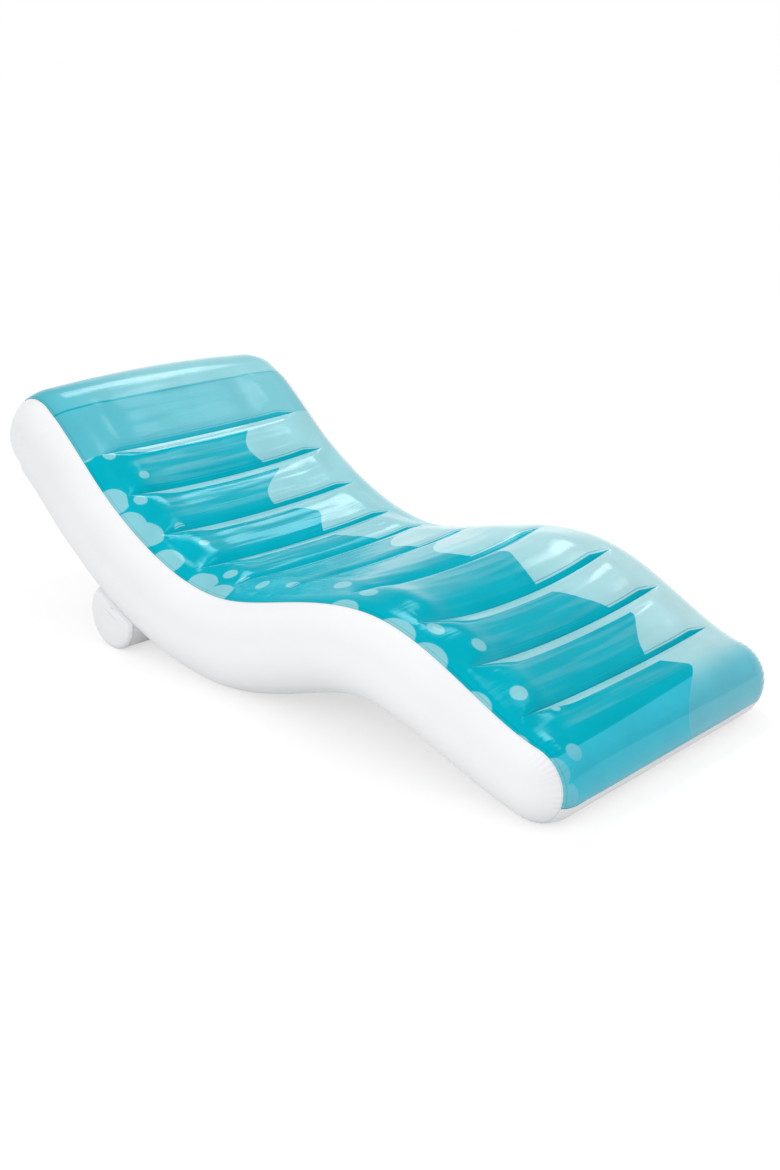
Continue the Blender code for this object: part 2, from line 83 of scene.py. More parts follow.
@dataclass(frozen=True)
class FloatSizes:
    """Sizes of the blown-up float.

    Its outline, seams and walls are the same as in the part's source, and the quilting is finer: each
    weld has its own depth in the middle of the width, and the bays rise above the line between them.
    """

    length: float = 1.910
    width: float = 0.920
    foot_thickness: float = 0.188
    knee_thickness: float = 0.229
    seat_thickness: float = 0.257
    shoulder_thickness: float = 0.257
    head_thickness: float = 0.260
    knee_run: float = 0.450
    seat_run: float = 0.965
    shoulder_run: float = 1.448
    knee_height: float = 0.228
    shoulder_height: float = 0.295
    head_height: float = 0.486
    foot_slope: float = 0.175
    shoulder_slope: float = 0.700
    head_slope: float = 0.665
    foot_settle: float = 0.006
    seat_settle: float = 0.009
    start_y: float = -0.8602568
    web_shares: tuple[float, ...] = (0.049, 0.136, 0.211, 0.303, 0.419, 0.539, 0.626, 0.728, 0.821, 0.906)
    web_half_length: float = 0.285
    top_weld_depths: tuple[float, ...] = (0.016, 0.034, 0.043, 0.026, 0.014,
                                          0.012, 0.014, 0.020, 0.024, 0.010)
    base_weld_depth: float = 0.018
    bay_rise: float = 0.018
    end_bay_reach: float = 0.080
    seam_angle: float = math.radians(28)
    foot_seam_angle: float = math.radians(100)
    head_seam_angle: float = math.radians(110)
    lap: float = 0.008
    lap_step: float = 0.003
    wall: float = 0.0005
    clear: float = 0.0003

    @property
    def side_line(self) -> float:
        """Give the half width of the flat middle, where the round sides begin."""
        return (self.width - self.head_thickness) / 2


@dataclass(frozen=True)
class ReliefSizes:
    """Sizes of the fine forms that air and welds give the film.

    Places, ends and spans across are measured over the film from the middle plane.
    """

    flange_slope: float = 0.62
    band_slope: float = 0.42
    fold_corner: float = 0.0014
    crest_corner: float = 0.0046
    bay_flatness: float = 0.35
    arch_power: float = 2.2
    rise_power: float = 5.0
    crease_end: float = 0.338
    crease_softness: float = 0.012
    knuckle: float = 0.0065
    knuckle_place: float = 0.268
    knuckle_width: float = 0.040
    valley: float = 0.0010
    valley_place: float = 0.340
    valley_width: float = 0.020
    streak: float = 0.0011
    streak_end: tuple[float, float] = (0.21, 0.29)
    fold: float = 0.0002
    fold_turns: float = 7.0
    fold_place: float = 0.020
    fold_width: float = 0.013
    pucker: float = 0.0013
    pucker_pitch: float = 0.016
    pucker_wander: float = 2.6
    pucker_reach: float = 0.024
    knee_pucker_share: float = 0.18
    knee_pucker_reach: float = 0.13
    seat_crease: float = 0.0010
    seat_crease_reach: float = 0.12
    seam_sink: float = 0.0005
    panel_swell: float = 0.0012
    head_bulge: float = 0.009
    head_bulge_reach: float = 0.40
    head_corner: float = 0.007
    head_corner_span: tuple[float, float] = (0.20, 0.46)


def smooth_step(low: float, high: float, value: np.ndarray) -> np.ndarray:
    """Give 0 below low, 1 above high and a smooth rise between them."""
    share = np.clip((value - low) / (high - low), 0.0, 1.0)
    return share * share * (3.0 - 2.0 * share)


def spread(values: np.ndarray, like: np.ndarray) -> np.ndarray:
    """Give each row of an array shaped like another its own value."""
    return np.broadcast_to(np.reshape(values, (-1, 1)), like.shape)


class Ripples:
    """Smooth random waves over a sheet, the same at every run."""

    START = 300.0
    CELLS = (67, 71)

    def __init__(self, seed: int, cell_across: float, cell_along: float) -> None:
        """Draw the table of heights.

        Args:
            seed: number that picks the table.
            cell_across: size of a wave across the sheet.
            cell_along: size of a wave along the sheet.
        """
        self.table = np.random.default_rng(seed).uniform(-1.0, 1.0, self.CELLS)
        self.cell_across = cell_across
        self.cell_along = cell_along

    def at(self, across: np.ndarray, along: np.ndarray) -> np.ndarray:
        """Give the height of the waves, from -1 to 1, at places on the sheet.

        Args:
            across: places across the sheet.
            along: places along it.

        Returns:
            The heights.
        """
        places = across / self.cell_across + self.START, along / self.cell_along + self.START
        row, column = (np.floor(place).astype(int) for place in places)
        down, on = (smooth_step(0.0, 1.0, place - cell) for place, cell in zip(places, (row, column)))
        rows, columns = self.table.shape
        low, high = (self.table[cell % rows, column % columns] * (1 - on)
                     + self.table[cell % rows, (column + 1) % columns] * on for cell in (row, row + 1))
        return low * (1 - down) + high * down


@dataclass
class Stations:
    """Places on the outline in the side view, with the way that each faces.

    bay is 1 at a web and 0 at the crown of a bay. behind and before are the distances to the last web
    on the foot's side and the next one on the head's side, behind_depth and before_depth the depths of
    their welds, and crown the depth of the bay's crown, all in the middle of the width. along is the
    distance along the skin, and curl is 1 where the skin turns round an end. Each is a column.
    """

    y: np.ndarray
    z: np.ndarray
    out_y: np.ndarray
    out_z: np.ndarray
    radius: np.ndarray
    bay: np.ndarray
    behind: np.ndarray
    before: np.ndarray
    behind_depth: np.ndarray
    before_depth: np.ndarray
    crown: np.ndarray
    along: np.ndarray
    curl: np.ndarray

    def __post_init__(self) -> None:
        """Turn each row of values into a column."""
        for name, values in vars(self).items():
            setattr(self, name, np.reshape(values, (-1, 1)))

    def out(self, reach: np.ndarray) -> tuple[np.ndarray, np.ndarray]:
        """Give y and z at distances straight out from each station."""
        return self.y + self.out_y * reach, self.z + self.out_z * reach

    def joined(self, other: "Stations") -> "Stations":
        """Give these stations followed by others."""
        return Stations(*(np.concatenate([mine, theirs])
                          for mine, theirs in zip(vars(self).values(), vars(other).values())))

    def taken(self, index: Any) -> "Stations":
        """Give some of the stations, by index or slice."""
        return Stations(*(values[index] for values in vars(self).values()))


class MiddleLine:
    """The smooth line through the middle of the float's thickness.

    The lower side's distances along the skin are shifted, so that no wave repeats on both sides.
    """

    SAMPLES = 1600
    LOWER_SHIFT = 10.0
    CURL_SPAN = 0.05
    WELD_STEPS = (0.0, 0.0015, 0.0030, 0.0045)
    STEP_GROWTH = 1.25

    def __init__(self, sizes: FloatSizes, flatness: float) -> None:
        """Blend the named places into one curve, and measure along it.

        Args:
            sizes: sizes of the float.
            flatness: how much lower a bay is beside its folds, as a share of its rise.
        """
        self.sizes = sizes
        self.flatness = flatness
        foot_radius = sizes.foot_thickness / 2
        head_radius = sizes.head_thickness / 2
        run = sizes.length - foot_radius - head_radius
        runs = (0.0, sizes.knee_run, sizes.seat_run, sizes.shoulder_run, run)
        heights = (foot_radius - sizes.foot_settle, sizes.knee_height,
                   sizes.seat_thickness / 2 - sizes.seat_settle, sizes.shoulder_height, sizes.head_height)
        slopes = (sizes.foot_slope, 0.0, 0.0, sizes.shoulder_slope, sizes.head_slope)
        radii = (foot_radius, sizes.knee_thickness / 2, sizes.seat_thickness / 2,
                 sizes.shoulder_thickness / 2, head_radius)
        self.y = np.linspace(0.0, run, self.SAMPLES)
        self.z = self.blended(runs, heights, slopes)
        self.radius = self.blended(runs, radii, (0.0,) * len(runs))
        steps = np.hypot(np.diff(self.y), np.diff(self.z))
        self.distance = np.concatenate([[0.0], np.cumsum(steps)])
        self.slope = np.gradient(self.z, self.y)
        self.length = float(self.distance[-1])
        self.webs = np.array(sizes.web_shares) * self.length

    def blended(self, places: tuple, values: tuple, slopes: tuple) -> np.ndarray:
        """Blend values and slopes at a few places into one smooth curve.

        Args:
            places: where the values hold.
            values: the values.
            slopes: the slopes there.

        Returns:
            The curve, sampled along the line.
        """
        result = np.zeros_like(self.y)
        for index in range(len(places) - 1):
            start = places[index]
            span = places[index + 1] - start
            inside = (self.y >= start) & (self.y <= places[index + 1])
            t = (self.y[inside] - start) / span
            ease = t * t * (3 - 2 * t)
            leave = t * (1 - t) ** 2
            arrive = t * t * (t - 1)
            result[inside] = (values[index] + (values[index + 1] - values[index]) * ease
                              + span * (slopes[index] * leave + slopes[index + 1] * arrive))
        return result

    def at(self, distance: np.ndarray) -> tuple[np.ndarray, ...]:
        """Give y, z, the unit tangent's y and z, and the radius at distances along the line.

        Args:
            distance: the distances.

        Returns:
            The five arrays.
        """
        y = np.interp(distance, self.distance, self.y)
        z = np.interp(distance, self.distance, self.z)
        slope = np.interp(distance, self.distance, self.slope)
        radius = np.interp(distance, self.distance, self.radius)
        size = np.hypot(1.0, slope)
        return y + self.sizes.start_y, z, 1.0 / size, slope / size, radius

    def bay_of(self, distance: np.ndarray) -> np.ndarray:
        """Give how near a web is, from 0 at the crown of a bay to 1 at the web.

        Args:
            distance: distances along the line.

        Returns:
            The share at each distance.
        """
        ends = self.webs[0] - self.sizes.end_bay_reach, self.webs[-1] + self.sizes.end_bay_reach
        places = np.sort([*self.webs, *(self.webs[1:] + self.webs[:-1]) / 2, *ends])
        return np.interp(distance, places, np.arange(len(places)) % 2)

    def welds_at(self, distances: np.ndarray, face: Face) -> tuple[np.ndarray, ...]:
        """Give behind, before, behind_depth, before_depth and crown, as Stations has them.

        Args:
            distances: distances along the line.
            face: face of the float.

        Returns:
            The five arrays.
        """
        last = np.searchsorted(self.webs, distances + TINY, side="right") - 1
        following = np.searchsorted(self.webs, distances - TINY)
        none = len(self.webs)
        depths = np.array(self.sizes.top_weld_depths if face is Face.UPPER
                          else (self.sizes.base_weld_depth,) * none)
        behind = np.where(last >= 0, distances - self.webs[last], NO_WEB)
        behind_depth = np.where(last >= 0, depths[last], 0.0)
        before = np.where(following < none, self.webs[following % none] - distances, NO_WEB)
        before_depth = np.where(following < none, depths[following % none], 0.0)
        share = behind / np.maximum(behind + before, TINY)
        crown = (behind_depth * (1 - share) + before_depth * share
                 - self.sizes.bay_rise * (1 - self.flatness * (2 * share - 1) ** 2))
        crown = np.where((last >= 0) & (following < none), crown, 0.0)
        return behind, before, behind_depth, before_depth, crown

    def flank(self, distances: np.ndarray, face: Face) -> Stations:
        """Give the stations along the upper or the lower flank.

        Args:
            distances: distances along the line.
            face: face of the float.

        Returns:
            The stations.
        """
        y, z, ty, tz, radius = self.at(distances)
        shift = 0.0 if face is Face.UPPER else self.LOWER_SHIFT
        curl = 1 - smooth_step(0.0, self.CURL_SPAN, np.minimum(distances, self.length - distances))
        return Stations(y, z, -face.value * tz, face.value * ty, radius, self.bay_of(distances),
                        *self.welds_at(distances, face), distances + shift, curl)

    def end_arc(self, at_head: bool, start: float, stop: float, steps: int, face: Face) -> Stations:
        """Give the stations round an end.

        Args:
            at_head: True at the head end, False at the foot end.
            start: first angle off the upper normal.
            stop: last angle off the upper normal.
            steps: number of steps.
            face: face that the arc belongs to.

        Returns:
            The stations, from the first angle to the last.
        """
        distance = np.full(steps + 1, self.length if at_head else 0.0)
        way = 1 if at_head else -1
        y, z, ty, tz, radius = self.at(distance)
        angle = np.linspace(start, stop, steps + 1)
        up = np.cos(angle)
        on = way * np.sin(angle)
        turned, shift = (angle, 0.0) if face is Face.UPPER else (math.pi - angle, self.LOWER_SHIFT)
        along = distance + way * radius * turned + shift
        none = np.full(steps + 1, NO_WEB)
        flat = np.zeros(steps + 1)
        return Stations(y, z, on * ty - up * tz, on * tz + up * ty, radius, self.bay_of(distance),
                        none, none, flat, flat, flat, along, np.ones(steps + 1))

    def bay_distances(self, half_bay_steps: int) -> np.ndarray:
        """Give distances along the line, close together beside each web.

        Args:
            half_bay_steps: number of steps from a web to its bay's crown.

        Returns:
            The distances, from the foot end.
        """
        near = np.array(self.WELD_STEPS)
        distances = []
        edges = np.concatenate([[0.0], self.webs, [self.length]])
        for index, (start, stop) in enumerate(zip(edges, edges[1:])):
            first, last = index == 0, index == len(edges) - 2
            half = stop - start if first or last else (stop - start) / 2
            share = np.linspace(0.0, 1.0, half_bay_steps) ** self.STEP_GROWTH
            offsets = np.concatenate([near, near[-1] + (half - near[-1]) * share[1:]])
            if not first:
                distances.append(start + offsets)
            if not last:
                distances.append((stop - offsets)[::-1])
        joined = np.concatenate(distances)
        return joined[np.concatenate([[True], np.diff(joined) > 1e-7])]

    def outline(self, face: Face, distances: np.ndarray, end_steps: int) -> Stations:
        """Give the stations of the top or the bottom sheet, from its foot seam to its head seam.

        Args:
            face: face that the sheet makes.
            distances: distances of the stations between the ends.
            end_steps: number of steps round each end.

        Returns:
            The stations.
        """
        sizes = self.sizes
        foot_gap = sizes.clear / sizes.foot_thickness
        head_gap = sizes.clear / sizes.head_thickness
        end = 0.0 if face is Face.UPPER else math.pi
        foot = self.end_arc(False, sizes.foot_seam_angle - face.value * foot_gap, end, end_steps, face)
        head = self.end_arc(True, end, sizes.head_seam_angle - face.value * head_gap, end_steps, face)
        return foot.taken(slice(0, -1)).joined(self.flank(distances, face)).joined(head.taken(slice(1, None)))


class Skin:
    """The float's outer surface, with all its fine forms."""

    def __init__(self, line: MiddleLine, relief: ReliefSizes) -> None:
        """Keep the sizes and draw the random waves.

        Args:
            line: middle line of the float.
            relief: sizes of the fine forms.
        """
        self.line = line
        self.relief = relief
        self.streaks = Ripples(3, 0.26, 0.017)
        self.fine_streaks = Ripples(7, 0.15, 0.008)
        self.wander = Ripples(11, 1.0, 0.045)
        self.fold_waves = Ripples(13, 0.9, 0.30)
        self.swell = Ripples(17, 0.07, 0.16)
        self.crease_waves = Ripples(19, 0.030, 0.013)

    def seam_form(self, rows: Stations, gap: np.ndarray) -> np.ndarray:
        """Give the puckers beside a long seam, at distances from it on either side of it.

        The film turns round the ends on a longer way than the seam does, and gathers there.

        Args:
            rows: stations of the sheet or panel.
            gap: distance from the seam, per row and column.

        Returns:
            The height of each point.
        """
        relief, along = self.relief, rows.along
        phase = 2 * math.pi * along / relief.pucker_pitch
        phase = phase + relief.pucker_wander * self.wander.at(np.zeros_like(phase), along)
        size = 0.65 + 0.35 * self.wander.at(np.full_like(phase, 4.0), along * 1.7)
        fade = np.exp(-(gap / relief.pucker_reach) ** 2) * (0.45 + 0.55 * smooth_step(0.0, 0.006, gap))
        knee = np.exp(-((along - self.line.webs[2]) / relief.knee_pucker_reach) ** 2)
        strength = rows.curl + relief.knee_pucker_share * knee
        return relief.pucker * strength * size * fade * np.sin(phase)

    def sheet_form(self, rows: Stations, across: np.ndarray, face: Face) -> np.ndarray:
        """Give how far points of a sheet stand out of the smooth float, negative where drawn in.

        Args:
            rows: stations of the sheet.
            across: signed distance over the film from the middle plane, per row and column.
            face: face that the sheet makes.

        Returns:
            The height of each point.
        """
        relief = self.relief
        wide = np.abs(across)
        bay, along, flat = rows.bay, rows.along, 1 - rows.curl
        gap = np.minimum(rows.behind, rows.before)
        form = -self.quilting(rows, wide)
        if face is Face.UPPER:
            knuckle = np.exp(-((wide - relief.knuckle_place) / relief.knuckle_width) ** 2)
            form += relief.knuckle * flat * knuckle * (1 - bay ** 2)
        valley = np.exp(-((wide - relief.valley_place) / relief.valley_width) ** 2)
        form -= relief.valley * flat * valley * (1 - bay ** 4)
        waves = 0.6 - 1.8 * np.abs(self.streaks.at(across, along)) + 0.4 * self.fine_streaks.at(across, along)
        fade = (1 - smooth_step(*relief.streak_end, wide)) * smooth_step(0.003, 0.012, gap)
        form += relief.streak * waves * fade * (0.35 + 0.65 * flat)

        # Small folds fan out from each end of a weld
        web_way = np.where(bay > 0, gap, 1.0)
        side_way = wide - relief.crease_end + relief.crease_softness
        turn = np.arctan2(web_way, side_way)
        folds = np.sin(relief.fold_turns * turn + 3.0 * self.fold_waves.at(turn * 0.5, along))
        fan = np.exp(-((np.hypot(side_way, web_way) - relief.fold_place) / relief.fold_width) ** 2)
        form += relief.fold * flat * folds * fan * smooth_step(0.0, 0.35, turn)
        return form

    def head_form(self, rows: Stations, wide: np.ndarray) -> np.ndarray:
        """Give the pillow shape of the head end: fuller in the middle, drawn in at the corners.

        Args:
            rows: stations of the sheet or panel.
            wide: distance from the middle plane, per row and column.

        Returns:
            The height of each point.
        """
        relief = self.relief
        middle = relief.head_bulge * (1 - smooth_step(0.0, relief.head_bulge_reach, wide))
        corner = relief.head_corner * smooth_step(*relief.head_corner_span, wide)
        return rows.curl * (rows.y > 0) * (middle - corner)

    def arch(self, wide: np.ndarray, power: float) -> np.ndarray:
        """Give a share that falls from 1 in the middle to 0 at the welds' ends."""
        return np.clip(1 - (wide / self.relief.crease_end) ** power, 0.0, 1.0)

    def quilting(self, rows: Stations, wide: np.ndarray) -> np.ndarray:
        """Give the depth of the quilting under the smooth float.

        On the head's side of a weld the web's flange rises steeply. On the foot's side the sheet
        leaves the weld as a flatter band. A fold parts both from the bulging bay.

        Args:
            rows: stations of the sheet.
            wide: distance from the middle plane, per row and column.

        Returns:
            The depth of each point.
        """
        relief = self.relief
        arch, held = self.arch(wide, relief.arch_power), self.arch(wide, relief.rise_power)
        share = np.clip(rows.behind / np.maximum(rows.behind + rows.before, TINY), 0.0, 1.0)
        line = rows.behind_depth * (1 - share) + rows.before_depth * share
        line = np.where(np.maximum(rows.behind, rows.before) < NO_WEB, line, 0.0)
        crown = line * arch + (rows.crown - line) * held
        flange = rows.behind_depth * arch - relief.flange_slope * rows.behind
        band = rows.before_depth * arch - relief.band_slope * rows.before
        fold = relief.fold_corner * (0.3 + 0.7 * held)
        crest = relief.crest_corner * (0.3 + 0.7 * held)
        bulge = fold * np.logaddexp(band / fold, crown / fold)
        joined = crest * np.logaddexp(flange / crest, bulge / crest)
        return joined * (1 - smooth_step(relief.crease_end - relief.crease_softness,
                                         relief.crease_end + relief.crease_softness, wide))

    def seat_creases(self, rows: Stations, gap: np.ndarray) -> np.ndarray:
        """Give the small creases of the seat's dip, beside the side seam.

        Args:
            rows: stations of the sheet.
            gap: distance from the seam, per row and column.

        Returns:
            The height of each point.
        """
        middle = 0.5 * (self.line.webs[5] + self.line.webs[4])
        dip = np.exp(-((rows.along - middle) / self.relief.seat_crease_reach) ** 2)
        waves = self.crease_waves.at(gap, rows.along)
        fade = smooth_step(0.008, 0.020, gap) * (1 - smooth_step(0.055, 0.085, gap))
        return self.relief.seat_crease * dip * waves * fade

    def points(self, rows: Stations, sign: np.ndarray, across: np.ndarray, angle: np.ndarray,
               form: np.ndarray, inset: np.ndarray) -> np.ndarray:
        """Give points of the skin, per row and column.

        Args:
            rows: stations of the outline.
            sign: side that each column is on.
            across: distance from the middle plane, up to the side line.
            angle: how far round the side each point is.
            form: height of the fine forms.
            inset: depth under the outer surface.

        Returns:
            The points, as an array of rows, columns and three numbers.
        """
        reach = rows.radius - inset + form
        x = sign * (across + reach * np.sin(angle))
        y, z = rows.out(reach * np.cos(angle))
        return np.stack([x, y, np.maximum(z, inset)], axis=-1)


Socket = bpy.types.NodeSocket
Colour = tuple[float, ...]


def colour(code: str) -> Colour:
    """Turn an sRGB hex value such as 00A5B9 into linear red, green, blue and full cover.

    Args:
        code: the six digits.

    Returns:
        The four values.
    """
    values = (int(code[start:start + 2], 16) / 255 for start in (0, 2, 4))
    linear = [value / 12.92 if value <= 0.04045 else ((value + 0.055) / 1.055) ** 2.4 for value in values]
    return (*linear, 1.0)


def add_node(tree: bpy.types.NodeTree, kind: str, inputs: dict | None = None,
             **settings: Any) -> bpy.types.Node:
    """Add a shader node with its settings, values and links.

    Args:
        tree: node tree that gets the node.
        kind: the node's type, without the word ShaderNode.
        inputs: value or output socket for each input, by name or number.
        settings: properties of the node.

    Returns:
        The new node.
    """
    made = tree.nodes.new("ShaderNode" + kind)
    for name, value in settings.items():
        setattr(made, name, value)
    for key, value in (inputs or {}).items():
        if isinstance(value, Socket):
            tree.links.new(value, made.inputs[key])
        else:
            made.inputs[key].default_value = value
    return made


def calc(operation: str, *values: Socket | float, clamp: bool = False) -> Socket:
    """Work out a number from others, with a Math node in the tree that one of them comes from."""
    tree = next(value.id_data for value in values if isinstance(value, Socket))
    return add_node(tree, "Math", dict(enumerate(values)), operation=operation, use_clamp=clamp).outputs[0]


def chain(operation: str, *values: Socket) -> Socket:
    """Work an operation on two numbers through a row of them."""
    return reduce(partial(calc, operation), values)


def ramp(value: Socket, low: float, high: float, start: Socket | float = 0.0, end: Socket | float = 1.0,
         smooth: bool = False) -> Socket:
    """Turn a value's range from low to high into the one from start to end, and hold it at both."""
    return add_node(value.id_data, "MapRange", {0: value, 1: low, 2: high, 3: start, 4: end},
                    interpolation_type="SMOOTHSTEP" if smooth else "LINEAR").outputs[0]


def line_at(value: Socket, place: float, core: float, rim: float, on: Socket | float = 1.0,
            off: float = 0.0) -> Socket:
    """Draw a line where a value is at a place: full up to core on both sides, faded out at rim."""
    return ramp(calc("ABSOLUTE", calc("SUBTRACT", value, place)), core, rim, on, off)


def mean(share: Socket, first: Socket | float, second: Socket | float) -> Socket:
    """Mix two numbers, the second by its share."""
    return add_node(share.id_data, "Mix", {0: share, 2: first, 3: second}).outputs[0]


def blend(share: Socket, first: Socket | Colour, second: Socket | Colour) -> Socket:
    """Mix two colours, the second by its share."""
    return add_node(share.id_data, "Mix", {0: share, 6: first, 7: second}, data_type="RGBA").outputs[2]


def dimmed(paint: Socket | Colour, share: Socket) -> Socket:
    """Give a share of a colour, which is a socket or three values."""
    return add_node(share.id_data, "VectorMath", {0: paint, "Scale": share}, operation="SCALE").outputs[0]


def noise(place: Socket, scale: float, detail: float, distortion: float = 0.0,
          stretch: tuple[float, float, float] | None = None) -> Socket:
    """Give smooth random clouds.

    Args:
        place: place on the surface.
        scale: how many clouds there are to a metre.
        detail: octaves of finer clouds.
        distortion: how much they curl.
        stretch: factors on scale along each axis.

    Returns:
        The clouds' strength, from 0 to 1.
    """
    if stretch:
        place = add_node(place.id_data, "Mapping", {"Vector": place, "Scale": stretch}).outputs[0]
    return add_node(place.id_data, "TexNoise", {"Vector": place, "Scale": scale, "Detail": detail,
                                                "Distortion": distortion}).outputs[0]


def bump(height: Socket, strength: float, distance: float) -> Socket:
    """Give the surface's normal under a fine relief."""
    return add_node(height.id_data, "Bump", {"Height": height, "Strength": strength,
                                             "Distance": distance}).outputs[0]


def new_material(name: str) -> tuple[bpy.types.Material, bpy.types.NodeTree]:
    """Make a material with an empty node tree.

    Args:
        name: name of the material.

    Returns:
        The material and its tree.
    """
    material = bpy.data.materials.new(name)
    material.use_nodes = True
    material.node_tree.nodes.clear()
    return material, material.node_tree


def close_plastic(tree: bpy.types.NodeTree, inputs: dict) -> None:
    """End a material with an opaque plastic of these inputs."""
    plastic = add_node(tree, "BsdfPrincipled", inputs)
    add_node(tree, "OutputMaterial", {0: plastic.outputs[0]})


def close_film(spot: Socket, tint: Socket | Colour, cover: Socket | float, inputs: dict) -> None:
    """End a material with a see-through film, which mirrors more and shows less at a slant.

    Args:
        spot: place on the flat film.
        tint: colour of what shows through.
        cover: how much of it the film hides, from 0 to 1.
        inputs: inputs of the film's own gloss and colour.
    """
    # Film drawn tight between two welds shows fine streaks along them
    ripple = bump(noise(spot, 1.0, 2.0, stretch=(5.0, 95.0, 1.0)), 0.35, 0.0012)
    tree = spot.id_data
    film = add_node(tree, "BsdfPrincipled", {"Normal": ripple, **inputs})
    clear = add_node(tree, "BsdfTransparent", {"Color": tint})
    slant = add_node(tree, "Fresnel", {"IOR": inputs["IOR"], "Normal": ripple}).outputs[0]
    mixed = add_node(tree, "MixShader", {0: mean(slant, cover, 1.0), 1: clear.outputs[0], 2: film.outputs[0]})
    add_node(tree, "OutputMaterial", {0: mixed.outputs[0]})


@dataclass(frozen=True)
class PrintedFilm:
    """Clear tinted PVC film, gravure printed on the inside: glossy, the print lies under the gloss.

    The print is a plain foam pattern: light scallops along one side and round bubbles along the
    other. Painted reflection lies over it: pale bands before the welds, pale streaks in the bays and a
    paler far side. The UV map holds real metres across and along the film.
    """

    deep: str = "00B6CA"
    light: str = "A6E6EF"
    # Painted reflection: the light ink is paler on the far side
    far_painted_reflection: str = "DCFCFF"
    middle: str = "3FC2D5"
    front: str = "3CC8E0"
    deep_tint: str = "35C3D6"
    light_tint: str = "BCE6EC"
    deep_sheen: str = "8CF0FF"
    light_sheen: str = "F0FDFF"
    roughness: float = 0.11
    ior: float = 1.50
    deep_cover: float = 0.92
    light_cover: float = 0.82
    head_edge: float = 1.6577
    back_seam: float = 1.805
    print_edge: float = 0.0010
    scallop_pitch: float = 0.245
    scallop_depth: float = 0.105
    scallop_line: float = 0.185
    scallop_sway: float = 0.035
    scallop_drift: float = 0.022
    sway_pitch: float = 0.75
    bubble_pitch: float = 0.115
    bubble_sizes: tuple[float, float] = (0.10, 0.40)
    bubble_strength: float = 0.72
    flange_width: float = 0.012
    # Widths of the bands of painted reflection before the welds
    reflection_band_width: float = 0.028
    seat_reflection_band_width: float = 0.046
    weld_reach: float = 0.333
    # Strength of the painted reflection streaks in the bays
    reflection_streak_share: float = 0.38
    front_line: float = -0.033
    front_sway: float = 0.012
    front_share: float = 0.80

    def scallops(self, across: Socket, along: Socket) -> Socket:
        """Give the light scallops: round arcs with soft corners, on a line that sways.

        Args:
            across: distance across the film from its middle.
            along: distance along it.

        Returns:
            1 on a scallop, 0 beside it.
        """
        sway = calc("SINE", calc("MULTIPLY", along, 2 * math.pi / self.sway_pitch))
        drawn = calc("MULTIPLY_ADD", sway, self.scallop_drift, along)
        turn = calc("SINE", calc("MULTIPLY", drawn, math.pi / self.scallop_pitch))
        arc = calc("SQRT", calc("MULTIPLY_ADD", turn, turn, 0.05))
        edge = calc("MULTIPLY_ADD", arc, -self.scallop_depth,
                    calc("MULTIPLY_ADD", sway, self.scallop_sway, self.scallop_line))
        return ramp(calc("SUBTRACT", across, edge), -self.print_edge, self.print_edge)

    def bubbles(self, spot: Socket, across: Socket) -> Socket:
        """Give the bubbles: one to a cell, larger towards the near edge.

        Args:
            spot: place on the flat film.
            across: its distance from the middle.

        Returns:
            The bubbles' strength.
        """
        cells = add_node(spot.id_data, "TexVoronoi",
                         {"Vector": spot, "Scale": 1 / self.bubble_pitch, "Randomness": 0.85},
                         voronoi_dimensions="2D", feature="F1").outputs
        chance = add_node(spot.id_data, "SeparateColor", {0: cells["Color"]}).outputs[0]
        size = calc("MULTIPLY", ramp(chance, 0.0, 0.8, *self.bubble_sizes), ramp(across, -0.225, -0.350))
        return ramp(calc("SUBTRACT", size, cells["Distance"]), -0.012, 0.012, 0.0, self.bubble_strength)

    def tapered(self, wide: Socket, span: float, full: Socket | float, smooth: bool = False) -> Socket:
        """Give a value that runs out to nothing over a span before the welds' ends."""
        return ramp(wide, self.weld_reach - span, self.weld_reach, full, 0.0, smooth)

    def flange(self, wide: Socket, past: Socket) -> Socket:
        """Give the dense stripe past each weld, where the web's flange doubles the film, and its rim.

        Args:
            wide: distance from the middle.
            past: distance past the last weld.

        Returns:
            The stripe's strength.
        """
        inside = calc("SUBTRACT", self.tapered(wide, 0.060, self.flange_width), past)
        rim = line_at(inside, -0.0040, 0.0007, 0.0015, self.tapered(wide, 0.040, 0.7))
        return calc("MAXIMUM", ramp(inside, 0.0, 0.0012), rim)

    def reflection_band(self, along: Socket) -> Socket:
        """Give the width of the band of painted reflection before a weld, which is wider in the seat."""
        return calc("MINIMUM", ramp(along, 0.52, 0.80, self.reflection_band_width, self.seat_reflection_band_width),
                    ramp(along, 1.20, 1.45, self.seat_reflection_band_width, self.reflection_band_width))

    def painted_reflection_streaks(self, spot: Socket, along: Socket, wide: Socket, before: Socket) -> Socket:
        """Give the painted reflection of pale streaks, past the clean strip that a fold keeps beside the
        band.

        Args:
            spot: place on the flat film.
            along: its distance along the film.
            wide: its distance from the middle.
            before: its distance to the next weld.

        Returns:
            The streaks' strength.
        """
        start = ramp(calc("SUBTRACT", before, self.reflection_band(along)), 0.009, 0.018)
        clouds = noise(spot, 1.0, 1.5, stretch=(3.2, 46.0, 1.0))
        # Painted reflection, stronger towards the head
        return chain("MULTIPLY", start, ramp(along, 1.00, 1.30, 0.45, 1.0),
                     ramp(before, 0.085, 0.160, 1.0, 0.0), ramp(wide, 0.225, 0.300, 1.0, 0.0, True),
                     ramp(clouds, 0.42, 0.66, 0.07, self.reflection_streak_share, True))

    def material(self) -> bpy.types.Material:
        """Make the film's material."""
        made, tree = new_material("printed_film")
        spot = add_node(tree, "UVMap", uv_map=FILM_UV).outputs[0]
        across, along = add_node(tree, "SeparateXYZ", {0: spot}).outputs[:2]
        wide = calc("ABSOLUTE", across)
        past, before, seam = (add_node(tree, "Attribute", attribute_name=name).outputs["Fac"]
                              for name in (PAST_WELD, BEFORE_WELD, SEAM_GAP))
